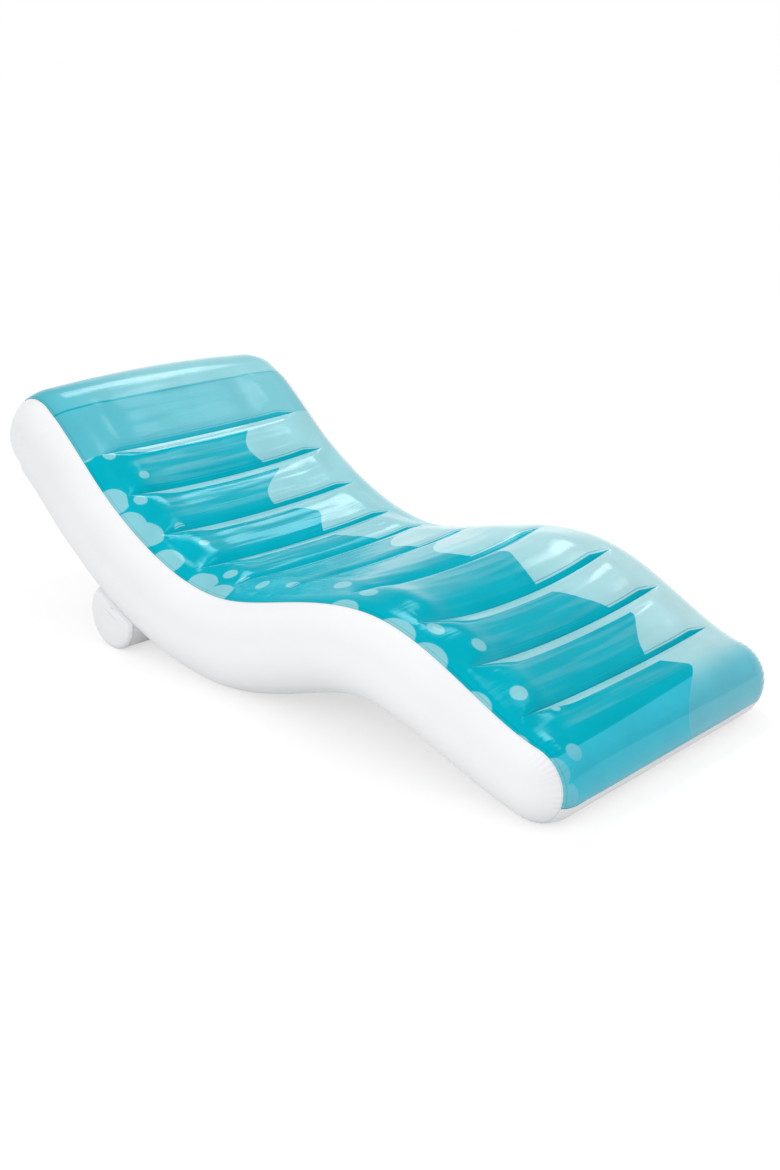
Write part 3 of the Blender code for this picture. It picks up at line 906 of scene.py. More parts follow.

        # Light is what the scallops and bubbles cover, the painted reflection of the bands before the welds
        # and of the pale streaks, and all past the last weld
        reflection_band_wide = self.tapered(wide, 0.150, self.reflection_band(along), True)
        # Painted reflection: a pale band before each weld
        band = ramp(calc("SUBTRACT", reflection_band_wide, before), 0.0, 0.0015)
        head = ramp(along, self.head_edge - self.print_edge, self.head_edge + self.print_edge)
        shown = chain("MAXIMUM", self.scallops(across, along), self.painted_reflection_streaks(spot, along, wide, before),
                      self.bubbles(spot, across), head, band)
        light = calc("SUBTRACT", shown, self.flange(wide, past), clamp=True)

        # The foot's front is a middle tone, from a line that sways
        sway = calc("SINE", calc("MULTIPLY", across, 4.0))
        below = calc("SUBTRACT", calc("MULTIPLY_ADD", sway, self.front_sway, self.front_line), along)
        foot = ramp(below, -self.print_edge, self.print_edge)
        front_fade = ramp(below, -0.060, 0.045, 0.0, self.front_share, True)

        # The head's band is a middle tone on the near side, and the seam on the back shows through it
        band_tone = ramp(across, -0.42, 0.30, 0.85, 0.40)
        past_tone = ramp(across, -0.42, -0.05, 0.90, 0.10)
        past_seam = calc("GREATER_THAN", along, self.back_seam)
        head_share = calc("MULTIPLY", mean(past_seam, band_tone, past_tone), head)
        seam_mark = line_at(along, self.back_seam, 0.0018, 0.0036, ramp(across, -0.30, 0.25, 0.95, 0.40))

        # Ink density drifts a little, and the seam presses the film to a darker line
        tone = ramp(noise(spot, 9.0, 3.0), 0.3, 0.7, 0.94, 1.04)
        shade = calc("MULTIPLY", line_at(seam, 0.0072, 0.0004, 0.0014, 0.78, 1.0), tone)

        deep, front = colour(self.deep), colour(self.front)
        # Painted reflection: the light ink is paler on the far side, most towards the foot and knee
        painted_reflection_share = calc("MULTIPLY", ramp(across, 0.02, 0.38), ramp(along, 0.70, 1.10, 0.75, 0.12))
        pale = blend(painted_reflection_share, colour(self.light), colour(self.far_painted_reflection))
        ink = blend(light, blend(foot, deep, front), pale)
        rolled = blend(light, ink, blend(front_fade, ink, front))
        banded = blend(head_share, rolled, colour(self.middle))
        close_film(spot, blend(light, colour(self.deep_tint), colour(self.light_tint)),
                   ramp(light, 0.0, 1.0, self.deep_cover, self.light_cover),
                   {"Base Color": dimmed(blend(seam_mark, banded, deep), shade), "Roughness": self.roughness,
                    # What the film's inner face mirrors has passed the tint twice
                    "Specular Tint": blend(light, colour(self.deep_sheen), colour(self.light_sheen)),
                    "IOR": self.ior})
        return made


@dataclass(frozen=True)
class ClearFilm:
    """The inside of the printed film: clear tinted PVC, glossy, with no print on it."""

    tint: str = "E4F6F8"
    body: str = "A8DDE5"
    cover: float = 0.04
    roughness: float = 0.18
    ior: float = 1.50

    def material(self) -> bpy.types.Material:
        """Make the material of the film's inner side."""
        made, tree = new_material("clear_film")
        close_film(add_node(tree, "UVMap", uv_map=FILM_UV).outputs[0], colour(self.tint), self.cover,
                   {"Base Color": colour(self.body), "Roughness": self.roughness, "IOR": self.ior})
        return made


@dataclass(frozen=True)
class WhiteVinyl:
    """Opaque white calendered PVC sheet: satin, with the faint grain of its rollers.

    The grain is 0.3 mm, drawn at 1.6 mm so that it shows.
    """

    name: str = "white_vinyl"
    sheet: str = "F3F4F6"
    weld: str = "ECEEF1"
    roughness: float = 0.36
    ior: float = 1.50
    grain_pitch: float = 0.0016
    weld_line: float = 0.0035

    def material(self) -> bpy.types.Material:
        """Make the sheet's material."""
        made, tree = new_material(self.name)
        place = add_node(tree, "TexCoord").outputs["Object"]
        seam = add_node(tree, "Attribute", attribute_name=SEAM_GAP).outputs["Fac"]
        paint = blend(line_at(seam, self.weld_line, 0.0005, 0.0016), colour(self.sheet), colour(self.weld))
        grain = add_node(tree, "TexVoronoi", {"Vector": place, "Scale": 1 / self.grain_pitch},
                         feature="SMOOTH_F1").outputs["Distance"]
        soft = noise(place, 90.0, 2.0)
        close_plastic(tree, {
            "Base Color": dimmed(paint, ramp(noise(place, 6.0, 2.0), 0.3, 0.7, 0.985, 1.005)),
            "Roughness": ramp(soft, 0.3, 0.7, self.roughness - 0.04, self.roughness + 0.05),
            "IOR": self.ior, "Normal": bump(calc("MULTIPLY_ADD", soft, 2.0, grain), 0.10, 0.0006)})
        return made


@dataclass(frozen=True)
class MouldedVinyl:
    """Injection-moulded soft PVC of the air valves: milky, glossy, faint flow marks."""

    name: str = "moulded_vinyl"
    body: str = "E9ECEE"
    roughness: float = 0.24
    ior: float = 1.52
    flow_scale: float = 140.0

    def material(self) -> bpy.types.Material:
        """Make the moulding's material."""
        made, tree = new_material(self.name)
        flow = noise(add_node(tree, "TexCoord").outputs["Object"], self.flow_scale, 3.0, 0.6)
        close_plastic(tree, {
            "Base Color": dimmed(colour(self.body)[:3], ramp(flow, 0.3, 0.7, 0.96, 1.02)),
            "Roughness": self.roughness, "IOR": self.ior, "Subsurface Weight": 0.2, "Subsurface Scale": 0.002,
            "Normal": bump(flow, 0.15, 0.0002)})
        return made


def deselect_all() -> None:
    """Leave nothing selected, so that an operator acts on the new piece alone."""
    if bpy.context.object and bpy.context.object.mode != "OBJECT":
        bpy.ops.object.mode_set(mode="OBJECT")
    bpy.ops.object.select_all(action="DESELECT")


def make_active(piece: bpy.types.Object) -> None:
    """Select one piece and make it the active one.

    Args:
        piece: the piece.
    """
    deselect_all()
    piece.select_set(True)
    bpy.context.view_layer.objects.active = piece


def edit_all(piece: bpy.types.Object, *steps: Callable[[], Any]) -> None:
    """Run steps of mesh editing on a whole piece.

    Args:
        piece: the piece.
        steps: the steps, which work on what is selected.
    """
    make_active(piece)
    bpy.ops.object.mode_set(mode="EDIT")
    bpy.ops.mesh.select_all(action="SELECT")
    for step in steps:
        step()
    bpy.ops.object.mode_set(mode="OBJECT")


def read_vectors(items: bpy.types.bpy_prop_collection, name: str) -> np.ndarray:
    """Read one vector of each vertex or face, a row for each.

    Args:
        items: the vertices or faces.
        name: name of the vector.

    Returns:
        The vectors.
    """
    values = np.empty(len(items) * 3, np.float32)
    items.foreach_get(name, values)
    return values.reshape(-1, 3)


def skin_piece(name: str, points: np.ndarray, film: np.ndarray, outward: Callable[[np.ndarray], np.ndarray],
               gaps: dict[str, np.ndarray], wall: float, inner_slot: int = 0) -> bpy.types.Object:
    """Add a grid, move each of its points to its place on a surface, and give it its wall.

    Args:
        name: name of the piece.
        points: place of each point of the outer face, per row and column.
        film: place of each point on the flat film, in metres.
        outward: function of the faces' middles that gives the way each should face.
        gaps: distances to seams or welds for the finish, by name.
        wall: thickness of the wall, inwards from the outer face.
        inner_slot: material slot of the wall's inner side.

    Returns:
        The piece.
    """
    rows, columns = points.shape[0] - 1, points.shape[1] - 1
    deselect_all()
    bpy.ops.mesh.primitive_grid_add(x_subdivisions=columns, y_subdivisions=rows, size=2)
    piece = bpy.context.active_object
    mesh = piece.data
    piece.name = mesh.name = name
    flat = read_vectors(mesh.vertices, "co")
    column = np.rint((flat[:, 0] + 1) / 2 * columns).astype(int)
    row = np.rint((flat[:, 1] + 1) / 2 * rows).astype(int)
    mesh.vertices.foreach_set("co", points[row, column].astype(np.float32).ravel())
    corners = np.empty(len(mesh.loops), int)
    mesh.loops.foreach_get("vertex_index", corners)
    mesh.uv_layers[0].name = FILM_UV
    mesh.uv_layers[0].data.foreach_set("uv", film[row, column][corners].astype(np.float32).ravel())
    for gap_name, gap in gaps.items():
        attribute = mesh.attributes.new(gap_name, "FLOAT", "POINT")
        attribute.data.foreach_set("value", gap[row, column].astype(np.float32))
    mesh.update()
    edit_all(piece, partial(bpy.ops.mesh.remove_doubles, threshold=0.00001),
             partial(bpy.ops.mesh.normals_make_consistent, inside=False))
    middles = read_vectors(mesh.polygons, "center")
    if (read_vectors(mesh.polygons, "normal") * outward(middles)).sum() < 0:
        edit_all(piece, bpy.ops.mesh.flip_normals)
    make_active(piece)
    for number in range(inner_slot + 1):
        mesh.materials.append(None)
    solidify = piece.modifiers.new("wall", "SOLIDIFY")
    solidify.thickness = wall
    solidify.offset = -1
    solidify.use_even_offset = True
    solidify.material_offset = inner_slot
    bpy.ops.object.modifier_apply(modifier=solidify.name)
    bpy.ops.object.shade_smooth()
    return piece


def dress(piece: bpy.types.Object, materials: list[bpy.types.Material], node: str) -> None:
    """Give a finished piece its materials, fix it to the float's body and hide the CAD node that it stands
    for.

    Args:
        piece: the finished piece, which rides on the float.
        materials: its materials, in the order of its slots.
        node: CAD node that it stands for.
    """
    for index, material in enumerate(materials):
        piece.data.materials[index] = material
    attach(piece, FLOAT_BODY)
    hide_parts(node)
    LOG.info("%s: %d faces", piece.name, len(piece.data.polygons))


@dataclass
class FloatBody:
    """The float: its printed top, white base, two white side panels and ten inner webs.

    middle_columns is where a sheet's wide columns start and stop and how far apart they are,
    side_columns where its narrow ones start and their step. side_shares are the columns round the side.
    """

    sizes: FloatSizes = field(default_factory=FloatSizes)
    relief: ReliefSizes = field(default_factory=ReliefSizes)
    half_bay_steps: int = 15
    end_steps: int = 54
    middle_columns: tuple[float, float, float] = (0.006, 0.235, 0.0115)
    side_columns: tuple[float, float] = (0.241, 0.0045)
    side_shares: tuple[float, ...] = (*(0.86 * step / 7 for step in range(1, 7)), 0.86, 0.93, 1.0)
    panel_step: float = 0.0055
    panel_columns: int = 12
    panel_near_share: float = 0.32
    web_end_pull: float = 0.018
    web_rows: int = 25
    web_columns: int = 65
    web_play: float = 0.0012
    web_sag: float = 0.0016
    web_wave: float = 0.0022
    web_wave_count: float = 60.0

    def __post_init__(self) -> None:
        """Set up the middle line and the skin."""
        self.line = MiddleLine(self.sizes, self.relief.bay_flatness)
        self.skin = Skin(self.line, self.relief)

    def columns(self, rows: Stations) -> tuple[np.ndarray, ...]:
        """Give the sign, the distance across and the angle of each column of a sheet, per row.

        Args:
            rows: stations of the sheet.

        Returns:
            The three arrays.
        """
        side_line, (start, step) = self.sizes.side_line, self.side_columns
        flat = np.concatenate([np.arange(*self.middle_columns), np.arange(start, side_line, step),
                               [side_line]])
        across = np.concatenate([flat, np.full(len(self.side_shares), side_line)])
        angle = np.concatenate([np.zeros(len(flat)), np.array(self.side_shares) * self.sizes.seam_angle])
        sign = np.repeat([-1.0, 1.0], len(across))
        both = (np.concatenate([part[::-1], part]) for part in (across, angle))
        return tuple(np.broadcast_to(part, (len(rows.y), len(sign))) for part in (sign, *both))

    def sheet(self, name: str, face: Face) -> bpy.types.Object:
        """Build the top or the bottom sheet, with its bays, creases and puckers.

        Args:
            name: name of the piece.
            face: face that the sheet makes.

        Returns:
            The sheet, with its wall.
        """
        skin, upper = self.skin, face is Face.UPPER
        rows = self.line.outline(face, self.line.bay_distances(self.half_bay_steps), self.end_steps)
        sign, across, angle = self.columns(rows)
        film_across = sign * (across + rows.radius * angle)
        gap = rows.radius * (self.sizes.seam_angle - angle) + self.sizes.side_line - across
        form = skin.sheet_form(rows, film_across, face) + skin.seam_form(rows, gap)
        form = form + skin.head_form(rows, np.abs(film_across))
        form = form - self.relief.seam_sink * (1 - smooth_step(0.0, 0.003, gap))
        if upper:
            form = form + skin.seat_creases(rows, gap)
        points = skin.points(rows, sign, across, angle, form, np.zeros_like(form))
        shift = 0.0 if upper else MiddleLine.LOWER_SHIFT
        film = np.stack([film_across, spread(rows.along - shift, form)], axis=-1)
        ends = np.minimum(film[..., 1] - film[0, 0, 1], film[-1, 0, 1] - film[..., 1])
        gaps = {SEAM_GAP: np.minimum(gap, ends), PAST_WELD: spread(rows.behind, form),
                BEFORE_WELD: spread(rows.before, form)}
        return skin_piece(name, points, film, lambda middles: np.array([0.0, 0.0, face.value]), gaps,
                          self.sizes.wall, int(upper))

    def panel(self, name: str, side: Side) -> bpy.types.Object:
        """Build a side panel: one S-shaped strip that bulges out half round.

        Its edges lap under the top and bottom sheets, up to a step beside the seam.

        Args:
            name: name of the piece.
            side: side of the float.

        Returns:
            The panel, with its wall.
        """
        sizes, skin = self.sizes, self.skin
        distances = np.linspace(0.0, self.line.length, round(self.line.length / self.panel_step))
        upper = self.line.outline(Face.UPPER, distances, self.end_steps)
        lower = self.line.outline(Face.LOWER, distances, self.end_steps // 2)
        rows = upper.joined(lower.taken(slice(None, None, -1)))
        rows = rows.joined(rows.taken(slice(0, 1)))
        radius = rows.radius
        step_angle = sizes.seam_angle + sizes.lap_step / radius
        even = np.linspace(0.0, 1.0, self.panel_columns)
        near = self.panel_near_share
        share = np.concatenate([near * even, near + (1 - near) * even[1:]])[None, :]
        angle = np.concatenate([sizes.seam_angle - (sizes.lap - sizes.clear) / radius,
                                sizes.seam_angle - 0.5 * sizes.lap / radius,
                                np.full_like(radius, sizes.seam_angle),
                                step_angle + (math.pi / 2 - step_angle) * share], axis=1)
        inset = np.zeros_like(angle)
        inset[:, :3] = sizes.wall + sizes.clear
        inset[:, 2:4] += self.relief.seam_sink * np.array([1.0, 0.35])
        gap = radius * (angle - sizes.seam_angle)
        form = skin.seam_form(rows, np.abs(gap)) + skin.head_form(rows, sizes.side_line + radius * angle)
        y, z = rows.out(radius * np.cos(angle))
        form = form + self.relief.panel_swell * smooth_step(0.01, 0.05, gap) * skin.swell.at(z, y)
        lapped = side.value * (sizes.side_line + radius * sizes.seam_angle + np.minimum(gap[:, :2], 0.0))
        form[:, :2] = form[:, :2] + skin.sheet_form(rows, lapped, Face.LOWER)
        points = skin.points(rows, np.full_like(angle, side.value), np.full_like(angle, sizes.side_line),
                             angle, form, inset)
        film = np.stack([gap, spread(rows.along, gap)], axis=-1)
        return skin_piece(name, points, film, lambda middles: np.array([side.value, 0.0, 0.0]),
                          {SEAM_GAP: np.abs(gap)}, sizes.wall)

    def web(self, name: str, number: int) -> bpy.types.Object:
        """Build an inner web: a strip welded along a flange under each sheet, its ends pulled in.

        Args:
            name: name of the piece.
            number: number of the web, 0 at the foot end.

        Returns:
            The web, with its wall.
        """
        sizes = self.sizes
        distance = self.line.webs[number]
        y, z, ty, tz, radius = (float(value) for value in self.line.at(distance))
        high = np.concatenate([[-1.0], np.linspace(-0.985, 0.985, self.web_rows), [1.0]])[:, None]
        wide = np.linspace(-1.0, 1.0, self.web_columns)[None, :]
        across = np.abs(wide) * sizes.web_half_length
        upper, lower = (self.skin.quilting(self.line.flank(np.array([distance]), face), across)
                        for face in (Face.UPPER, Face.LOWER))
        half_height = radius - np.where(high > 0, upper, lower) - sizes.wall - sizes.clear - self.web_play
        x = wide * (sizes.web_half_length - self.web_end_pull * (1 - high ** 2))
        up = high * half_height
        sag = self.web_sag * Ripples(int(distance * 1000), 0.06, 0.04).at(x, up) * (1 - high ** 4)
        sag = sag + self.web_wave * np.sin(x * self.web_wave_count) * np.abs(high) ** 6 * (1 - high ** 10)
        sag = sizes.wall / 2 + sag
        points = np.stack([x, y - tz * up + ty * sag, z + ty * up + tz * sag], axis=-1)
        return skin_piece(name, points, np.stack([x, up], axis=-1), lambda middles: np.array([0.0, ty, tz]),
                          {SEAM_GAP: (1 - np.abs(high)) * half_height}, sizes.wall)

    def build(self, film: list[bpy.types.Material], white: bpy.types.Material,
              web: bpy.types.Material) -> None:
        """Build and dress every piece of the float.

        Args:
            film: materials of the printed top's outer and inner side.
            white: material of the base and the side panels.
            web: material of the webs.
        """
        dress(self.sheet("printed_top", Face.UPPER), film, "top_sheet")
        base = self.sheet("white_base", Face.LOWER)
        self.cut_valve_hole(base)
        dress(base, [white], "bottom_sheet")
        for side in Side:
            word = side.name.lower()
            dress(self.panel("side_wall_" + word, side), [white], "side_panel_" + word)
        for number in range(len(self.line.webs)):
            word = f"web_{number + 1:02d}"
            dress(self.web("inner_" + word, number), [web], word)

    def cut_valve_hole(self, base: bpy.types.Object) -> None:
        """Cut the round hole that the main valve's collar is welded into.

        Args:
            base: the base.
        """
        low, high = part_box("main_valve_collar")
        deselect_all()
        bpy.ops.mesh.primitive_cylinder_add(vertices=96, radius=(high.x - low.x) / 2 + self.sizes.clear,
                                            depth=0.06, location=(low + high) / 2)
        cutter = bpy.context.active_object
        make_active(base)
        hole = base.modifiers.new("hole", "BOOLEAN")
        hole.operation = "DIFFERENCE"
        hole.object = cutter
        bpy.ops.object.modifier_apply(modifier=hole.name)
        bpy.data.objects.remove(cutter, do_unlink=True)


@dataclass
class Bolster:
    """The bolster: a white tube welded across the underside, and its two end discs.

    roof_run is the stretch of the float over it: where it starts and stops and the step between.
    """

    float_body: FloatBody
    run: float = 1.340
    radius: float = 0.086
    settle: float = 0.002
    end_inset: float = 0.036
    end_crown: float = 0.014
    dome: float = 0.0025
    shoulder: float = 0.016
    hole_gap: float = 0.0003
    whole_radius: float = 0.030
    dome_span: tuple[float, float] = (0.024, 0.040)
    roof_run: tuple[float, float, float] = (1.15, 1.62, 0.0005)
    roof_smooth: tuple[float, float] = (0.38, 0.40)
    edge_play: float = 0.0004
    roof_gap: float = 0.0006
    pucker_count: int = 34
    tube_pucker: float = 0.0007
    tube_pucker_reach: float = 0.014
    tube_swell: float = 0.0006
    disc_pucker: float = 0.0008
    disc_pucker_place: float = 0.006
    disc_pucker_reach: float = 0.008
    turn_steps: int = 128
    length_steps: int = 150

    def __post_init__(self) -> None:
        """Find the bolster's axis and its half length."""
        sizes = self.float_body.sizes
        self.middle_y = self.run + sizes.start_y
        self.middle_z = self.radius - self.settle
        self.half_length = sizes.width / 2 - self.end_inset

    def roof(self, x: np.ndarray) -> tuple[np.ndarray, np.ndarray]:
        """Give the float's underside over the bolster, as angles and distances.

        The angle is turned from straight up towards the head end, about the bolster's axis.

        Args:
            x: places along the bolster.

        Returns:
            The angles and the distances: a row for each step along the float, a column for each place.
        """
        body = self.float_body
        side_line = body.sizes.side_line
        rows = body.line.flank(np.arange(*self.roof_run), Face.LOWER)
        wide = np.abs(x)[None, :]
        angle = np.arcsin(np.clip((wide - side_line) / rows.radius, 0.0, 0.999))
        across = np.minimum(wide, side_line) + rows.radius * angle
        form = body.skin.sheet_form(rows, across, Face.LOWER) * (1 - smooth_step(*self.roof_smooth, across))
        y, z = rows.out((rows.radius + form) * np.cos(angle))
        y, z = y - self.middle_y, z - self.middle_z
        return np.arctan2(y, z), np.hypot(y, z)

    def edges(self, x: np.ndarray) -> tuple[np.ndarray, np.ndarray]:
        """Give the angles of the tube's two edges on the float, at places along the bolster.

        Args:
            x: places along the bolster.

        Returns:
            The front and the back edge's angles.
        """
        turn, far = self.roof(x)
        front, back = np.zeros((2, len(x)))
        for index in range(len(x)):
            inside = np.flatnonzero(far[:, index] < self.radius + self.edge_play)
            if len(inside):
                front[index], back[index] = turn[inside[0], index], turn[inside[-1], index]
        return front, back

    def ring_points(self, x: np.ndarray, turn: np.ndarray, reach: np.ndarray) -> np.ndarray:
        """Give points about the bolster's axis, pressed flat on the floor.

        Args:
            x: places along the bolster.
            turn: angles about its axis.
            reach: distances from its axis.

        Returns:
            The points.
        """
        y = self.middle_y + reach * np.sin(turn)
        z = self.middle_z + reach * np.cos(turn)
        return np.stack([x + np.zeros_like(y), y, np.maximum(z, 0.0)], axis=-1)

    def wrap(self, name: str) -> bpy.types.Object:
        """Build the tube: open on top where it is welded to the float, puckered beside its ends.

        Args:
            name: name of the piece.

        Returns:
            The tube, with its wall.
        """
        places = self.half_length * np.sin(np.linspace(-math.pi / 2, math.pi / 2, self.length_steps + 1))
        front, back = self.edges(places)
        x = places[:, None]
        start, stop = back[:, None], front[:, None] + 2 * math.pi
        turn = start + (stop - start) * np.linspace(0.0, 1.0, self.turn_steps + 1)[None, :]
        end_gap = self.half_length - np.abs(x)
        fade = np.exp(-(end_gap / self.tube_pucker_reach) ** 2)
        form = self.tube_pucker * np.sin(turn * self.pucker_count) * fade
        edge_gap = self.radius * np.minimum(turn - start, stop - turn)
        swell = self.tube_swell * Ripples(23, 0.11, 0.05).at(x + 0 * turn, turn * self.radius)
        form = form + swell * smooth_step(0.01, 0.04, edge_gap)
        film = np.stack([spread(places, turn), turn * self.radius], axis=-1)
        axis = np.array([0.0, self.middle_y, self.middle_z])
        return skin_piece(name, self.ring_points(x, turn, self.radius + form), film,
                          lambda middles: (middles - axis) * np.array([0.0, 1.0, 1.0]),
                          {SEAM_GAP: np.minimum(end_gap + 0 * turn, edge_gap)}, self.float_body.sizes.wall)

    def disc(self, name: str, side: Side, hole: float) -> bpy.types.Object:
        """Build an end disc: crowned, with a round puckered shoulder, cut away under the float.

        Args:
            name: name of the piece.
            side: side of the float.
            hole: radius of the valve's hole, or 0.

        Returns:
            The disc, with its wall.
        """
        sizes = self.float_body.sizes
        flat = np.linspace(hole, self.radius - self.shoulder, 12)
        bend = np.linspace(0.0, math.pi / 2, 11)[1:]
        rings = np.concatenate([flat, self.radius - self.shoulder * (1 - np.sin(bend))])
        proud = np.concatenate([np.full(len(flat), self.end_crown),
                                sizes.clear + (self.end_crown - sizes.clear) * np.cos(bend)])
        dome = self.dome * (1 - (rings / self.radius) ** 2) * smooth_step(*self.dome_span, rings)
        turn = np.linspace(0.0, 2 * math.pi, self.turn_steps + 1)[None, :]
        angle = (turn[0] + math.pi) % (2 * math.pi) - math.pi
        x = self.half_length + proud + dome
        limit = np.empty((len(rings), self.turn_steps + 1))
        roof_turn, roof_far = self.roof(x)
        for index in range(len(rings)):
            order = np.argsort(roof_turn[:, index])
            limit[index] = np.interp(angle, roof_turn[order, index], roof_far[order, index], 1.0, 1.0)
        reach = np.minimum(np.minimum.accumulate(limit[::-1], axis=0)[::-1] - self.roof_gap, self.radius)
        ring = rings[:, None]
        reach = np.where(ring < self.whole_radius, ring, ring * (reach / self.radius))
        edge_gap = self.radius - ring
        fade = np.exp(-((edge_gap - self.disc_pucker_place) / self.disc_pucker_reach) ** 2)
        pucker = self.disc_pucker * np.sin(turn * self.pucker_count) * fade
        points = self.ring_points(np.zeros_like(reach), turn, reach)
        points[..., 0] = side.value * (x[:, None] + pucker)
        film = np.stack([spread(rings, reach), turn * self.radius + 0 * reach], axis=-1)
        return skin_piece(name, points, film, lambda middles: np.array([side.value, 0.0, 0.0]),
                          {SEAM_GAP: edge_gap + 0 * reach}, sizes.wall)

    def build(self, white: bpy.types.Material) -> None:
        """Build and dress the tube and its end discs.

        Args:
            white: material of its three pieces.
        """
        dress(self.wrap("bolster_tube"), [white], "bolster_wrap")
        low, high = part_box("bolster_valve_collar")
        for side, hole in ((Side.LEFT, 0.0), (Side.RIGHT, (high.y - low.y) / 2 + self.hole_gap)):
            word = side.name.lower()
            disc = self.disc("bolster_disc_" + word, side, hole)
            dress(disc, [white], "bolster_end_" + word)


@dataclass
class Valves:
    """The two air valves, whose CAD pieces keep their shape and get their finish."""

    prefixes: tuple[str, ...] = ("main_valve", "bolster_valve")

    def build(self, moulded: bpy.types.Material, flap: bpy.types.Material) -> None:
        """Dress the valves' pieces.

        Args:
            moulded: material of the collars, stems and stoppers.
            flap: material of the flaps.
        """
        for prefix in self.prefixes:
            for part in ("collar", "stem", "stopper", "flap"):
                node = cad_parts[f"{prefix}_{part}"]
                node.data.materials.clear()
                node.data.materials.append(flap if part == "flap" else moulded)
                LOG.info("%s dressed", node.name)


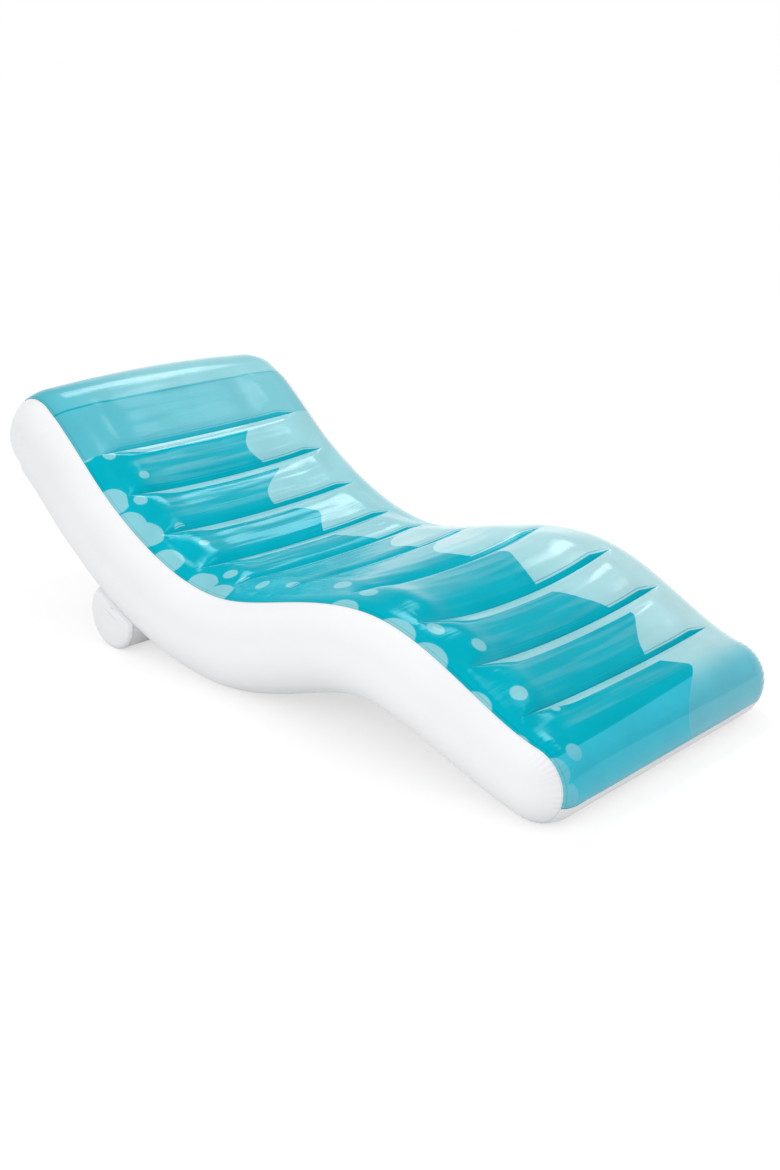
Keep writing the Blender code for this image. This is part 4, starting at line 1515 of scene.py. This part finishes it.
@dataclass
class Studio:
    """The white studio: a floor that keeps the shadow, an even world, two soft lamps and the camera."""

    world_level: float = 0.84
    backdrop_level: float = 1.05
    backdrop_way: tuple[float, float, float] = (0.71, 0.70, 0.0)
    ceiling_level: float = 0.05
    knee_glow: float = 4.5
    knee_glow_way: tuple[float, float, float] = (0.530, 0.360, 0.768)
    knee_glow_spread: float = math.radians(12.0)
    back_glow: float = 2.0
    back_glow_way: tuple[float, float, float] = (0.500, -0.160, 0.851)
    back_glow_spread: float = math.radians(9.0)
    glow_core: float = math.radians(2.0)
    floor_share: float = 0.50
    floor_glow: float = 0.585
    floor_bounce: float = 0.70
    floor_drop: float = 0.0005
    lamp_size: float = 0.75
    lamp_power: float = 17.0
    lamp_place: tuple[float, float, float] = (0.5, 0.2, 3.0)
    fill_size: float = 2.0
    fill_power: float = 20.0
    fill_place: tuple[float, float, float] = (-2.9, -0.9, 1.5)
    lamp_aim: tuple[float, float, float] = (0.0, 0.0, 0.2)
    camera_place: tuple[float, float, float] = (-2.320, -2.378, 1.416)
    camera_yaw: float = math.radians(44.41)
    camera_pitch: float = math.radians(20.36)
    camera_lens: float = 42.92

    @staticmethod
    def seen(tree: bpy.types.NodeTree) -> Socket:
        """Give 1 for rays that show the background: to the camera, mirrored or through film."""
        path = add_node(tree, "LightPath").outputs
        return chain("MAXIMUM", path["Is Camera Ray"], path["Is Glossy Ray"], path["Is Transmission Ray"])

    @staticmethod
    def facing(spot: Socket, way: tuple[float, float, float]) -> Socket:
        """Give the cosine between a place in the sky and a way."""
        product = add_node(spot.id_data, "VectorMath", {0: spot, 1: way}, operation="DOT_PRODUCT")
        return product.outputs["Value"]

    def build_world(self) -> None:
        """Light the object evenly from all round, before plain white.

        Gloss mirrors what such a studio has: a white backdrop beyond the object that dims up to 33
        degrees, a dark ceiling and camera side, and the soft glow of two diffusers overhead.
        """
        world = bpy.data.worlds.new("studio")
        bpy.context.scene.world = world
        world.use_nodes = True
        tree = world.node_tree
        tree.nodes.clear()
        spot = add_node(tree, "TexCoord").outputs["Generated"]
        low = ramp(add_node(tree, "SeparateXYZ", {0: spot}).outputs[2], 0.10, 0.55, 1.0, 0.0)
        backdrop = calc("MULTIPLY", low, ramp(self.facing(spot, self.backdrop_way), 0.10, 0.35))
        gloss = ramp(backdrop, 0.0, 1.0, self.ceiling_level, self.backdrop_level)
        for way, spread, level in ((self.knee_glow_way, self.knee_glow_spread, self.knee_glow),
                                   (self.back_glow_way, self.back_glow_spread, self.back_glow)):
            glow = ramp(self.facing(spot, way), math.cos(spread), math.cos(self.glow_core), 0.0, level, True)
            gloss = calc("ADD", gloss, glow)
        is_gloss = add_node(tree, "LightPath").outputs["Is Glossy Ray"]
        level = mean(is_gloss, ramp(self.seen(tree), 0.0, 1.0, self.world_level, 1.0), gloss)
        light = add_node(tree, "Background", {"Color": colour("FFFFFF"), "Strength": level})
        add_node(tree, "OutputWorld", {0: light.outputs[0]})

    def build_floor(self) -> None:
        """Lay the floor: white where nothing shades it, and open when seen from below."""
        deselect_all()
        bpy.ops.mesh.primitive_plane_add(size=400, location=(0, 0, -self.floor_drop))
        floor = bpy.context.active_object
        floor.name = "studio_floor"
        made, tree = new_material("studio_floor")
        seen = self.seen(tree)
        paint = dimmed((1.0, 1.0, 1.0), ramp(seen, 0.0, 1.0, self.floor_bounce, self.floor_share))
        matt = add_node(tree, "BsdfDiffuse", {"Color": paint})
        light = add_node(tree, "Emission", {"Color": colour("FFFFFF"),
                                            "Strength": calc("MULTIPLY", seen, self.floor_glow)})
        both = add_node(tree, "AddShader", {0: matt.outputs[0], 1: light.outputs[0]})
        below = add_node(tree, "NewGeometry").outputs["Backfacing"]
        clear = add_node(tree, "BsdfTransparent")
        either = add_node(tree, "MixShader", {0: below, 1: both.outputs[0], 2: clear.outputs[0]})
        add_node(tree, "OutputMaterial", {0: either.outputs[0]})
        floor.data.materials.append(made)

    def build_lamp(self, name: str, size: float, power: float, place: tuple[float, float, float]) -> None:
        """Hang a square softbox that faces the middle of the float, and that gloss doesn't mirror.

        Args:
            name: name of the lamp.
            size: length of its sides.
            power: its power in watts.
            place: where it hangs.
        """
        lamp = bpy.data.lights.new(name, "AREA")
        lamp.shape = "SQUARE"
        lamp.size = size
        lamp.energy = power
        softbox = bpy.data.objects.new(name, lamp)
        softbox.location = place
        softbox.visible_glossy = False
        way = Vector(self.lamp_aim) - Vector(place)
        softbox.rotation_euler = way.to_track_quat("-Z", "Y").to_euler()
        bpy.context.scene.collection.objects.link(softbox)

    def build_camera(self) -> None:
        """Set the camera at the photograph's viewing angle."""
        lens = bpy.data.cameras.new("camera")
        lens.lens = self.camera_lens
        lens.sensor_width = 36.0
        camera = bpy.data.objects.new("camera", lens)
        ahead, aside = math.cos(self.camera_yaw), math.sin(self.camera_yaw)
        level = math.cos(self.camera_pitch)
        forward = Vector((ahead * level, aside * level, -math.sin(self.camera_pitch)))
        right = Vector((aside, -ahead, 0.0))
        turn = Matrix((right, right.cross(forward), -forward)).transposed().to_4x4()
        camera.matrix_world = Matrix.Translation(self.camera_place) @ turn
        bpy.context.scene.collection.objects.link(camera)
        bpy.context.scene.camera = camera

    def build(self) -> None:
        """Build the studio."""
        self.build_world()
        self.build_floor()
        self.build_lamp("overhead_softbox", self.lamp_size, self.lamp_power, self.lamp_place)
        self.build_lamp("side_softbox", self.fill_size, self.fill_power, self.fill_place)
        self.build_camera()
        bpy.context.scene.view_settings.view_transform = "Standard"


def main() -> None:
    """Build the lounger and its studio."""
    logging.basicConfig(level=logging.INFO, format="%(name)s: %(message)s")
    white = WhiteVinyl().material()
    web = WhiteVinyl(name="web_vinyl", sheet="F0F2F4", weld="E4E7EA", roughness=0.42).material()
    body = FloatBody()
    body.build([PrintedFilm().material(), ClearFilm().material()], white, web)
    Bolster(body).build(white)
    Valves().build(MouldedVinyl().material(),
                   MouldedVinyl(name="flap_vinyl", body="E4E6E8", roughness=0.38).material())
    Studio().build()


if __name__ == "__main__":
    main()
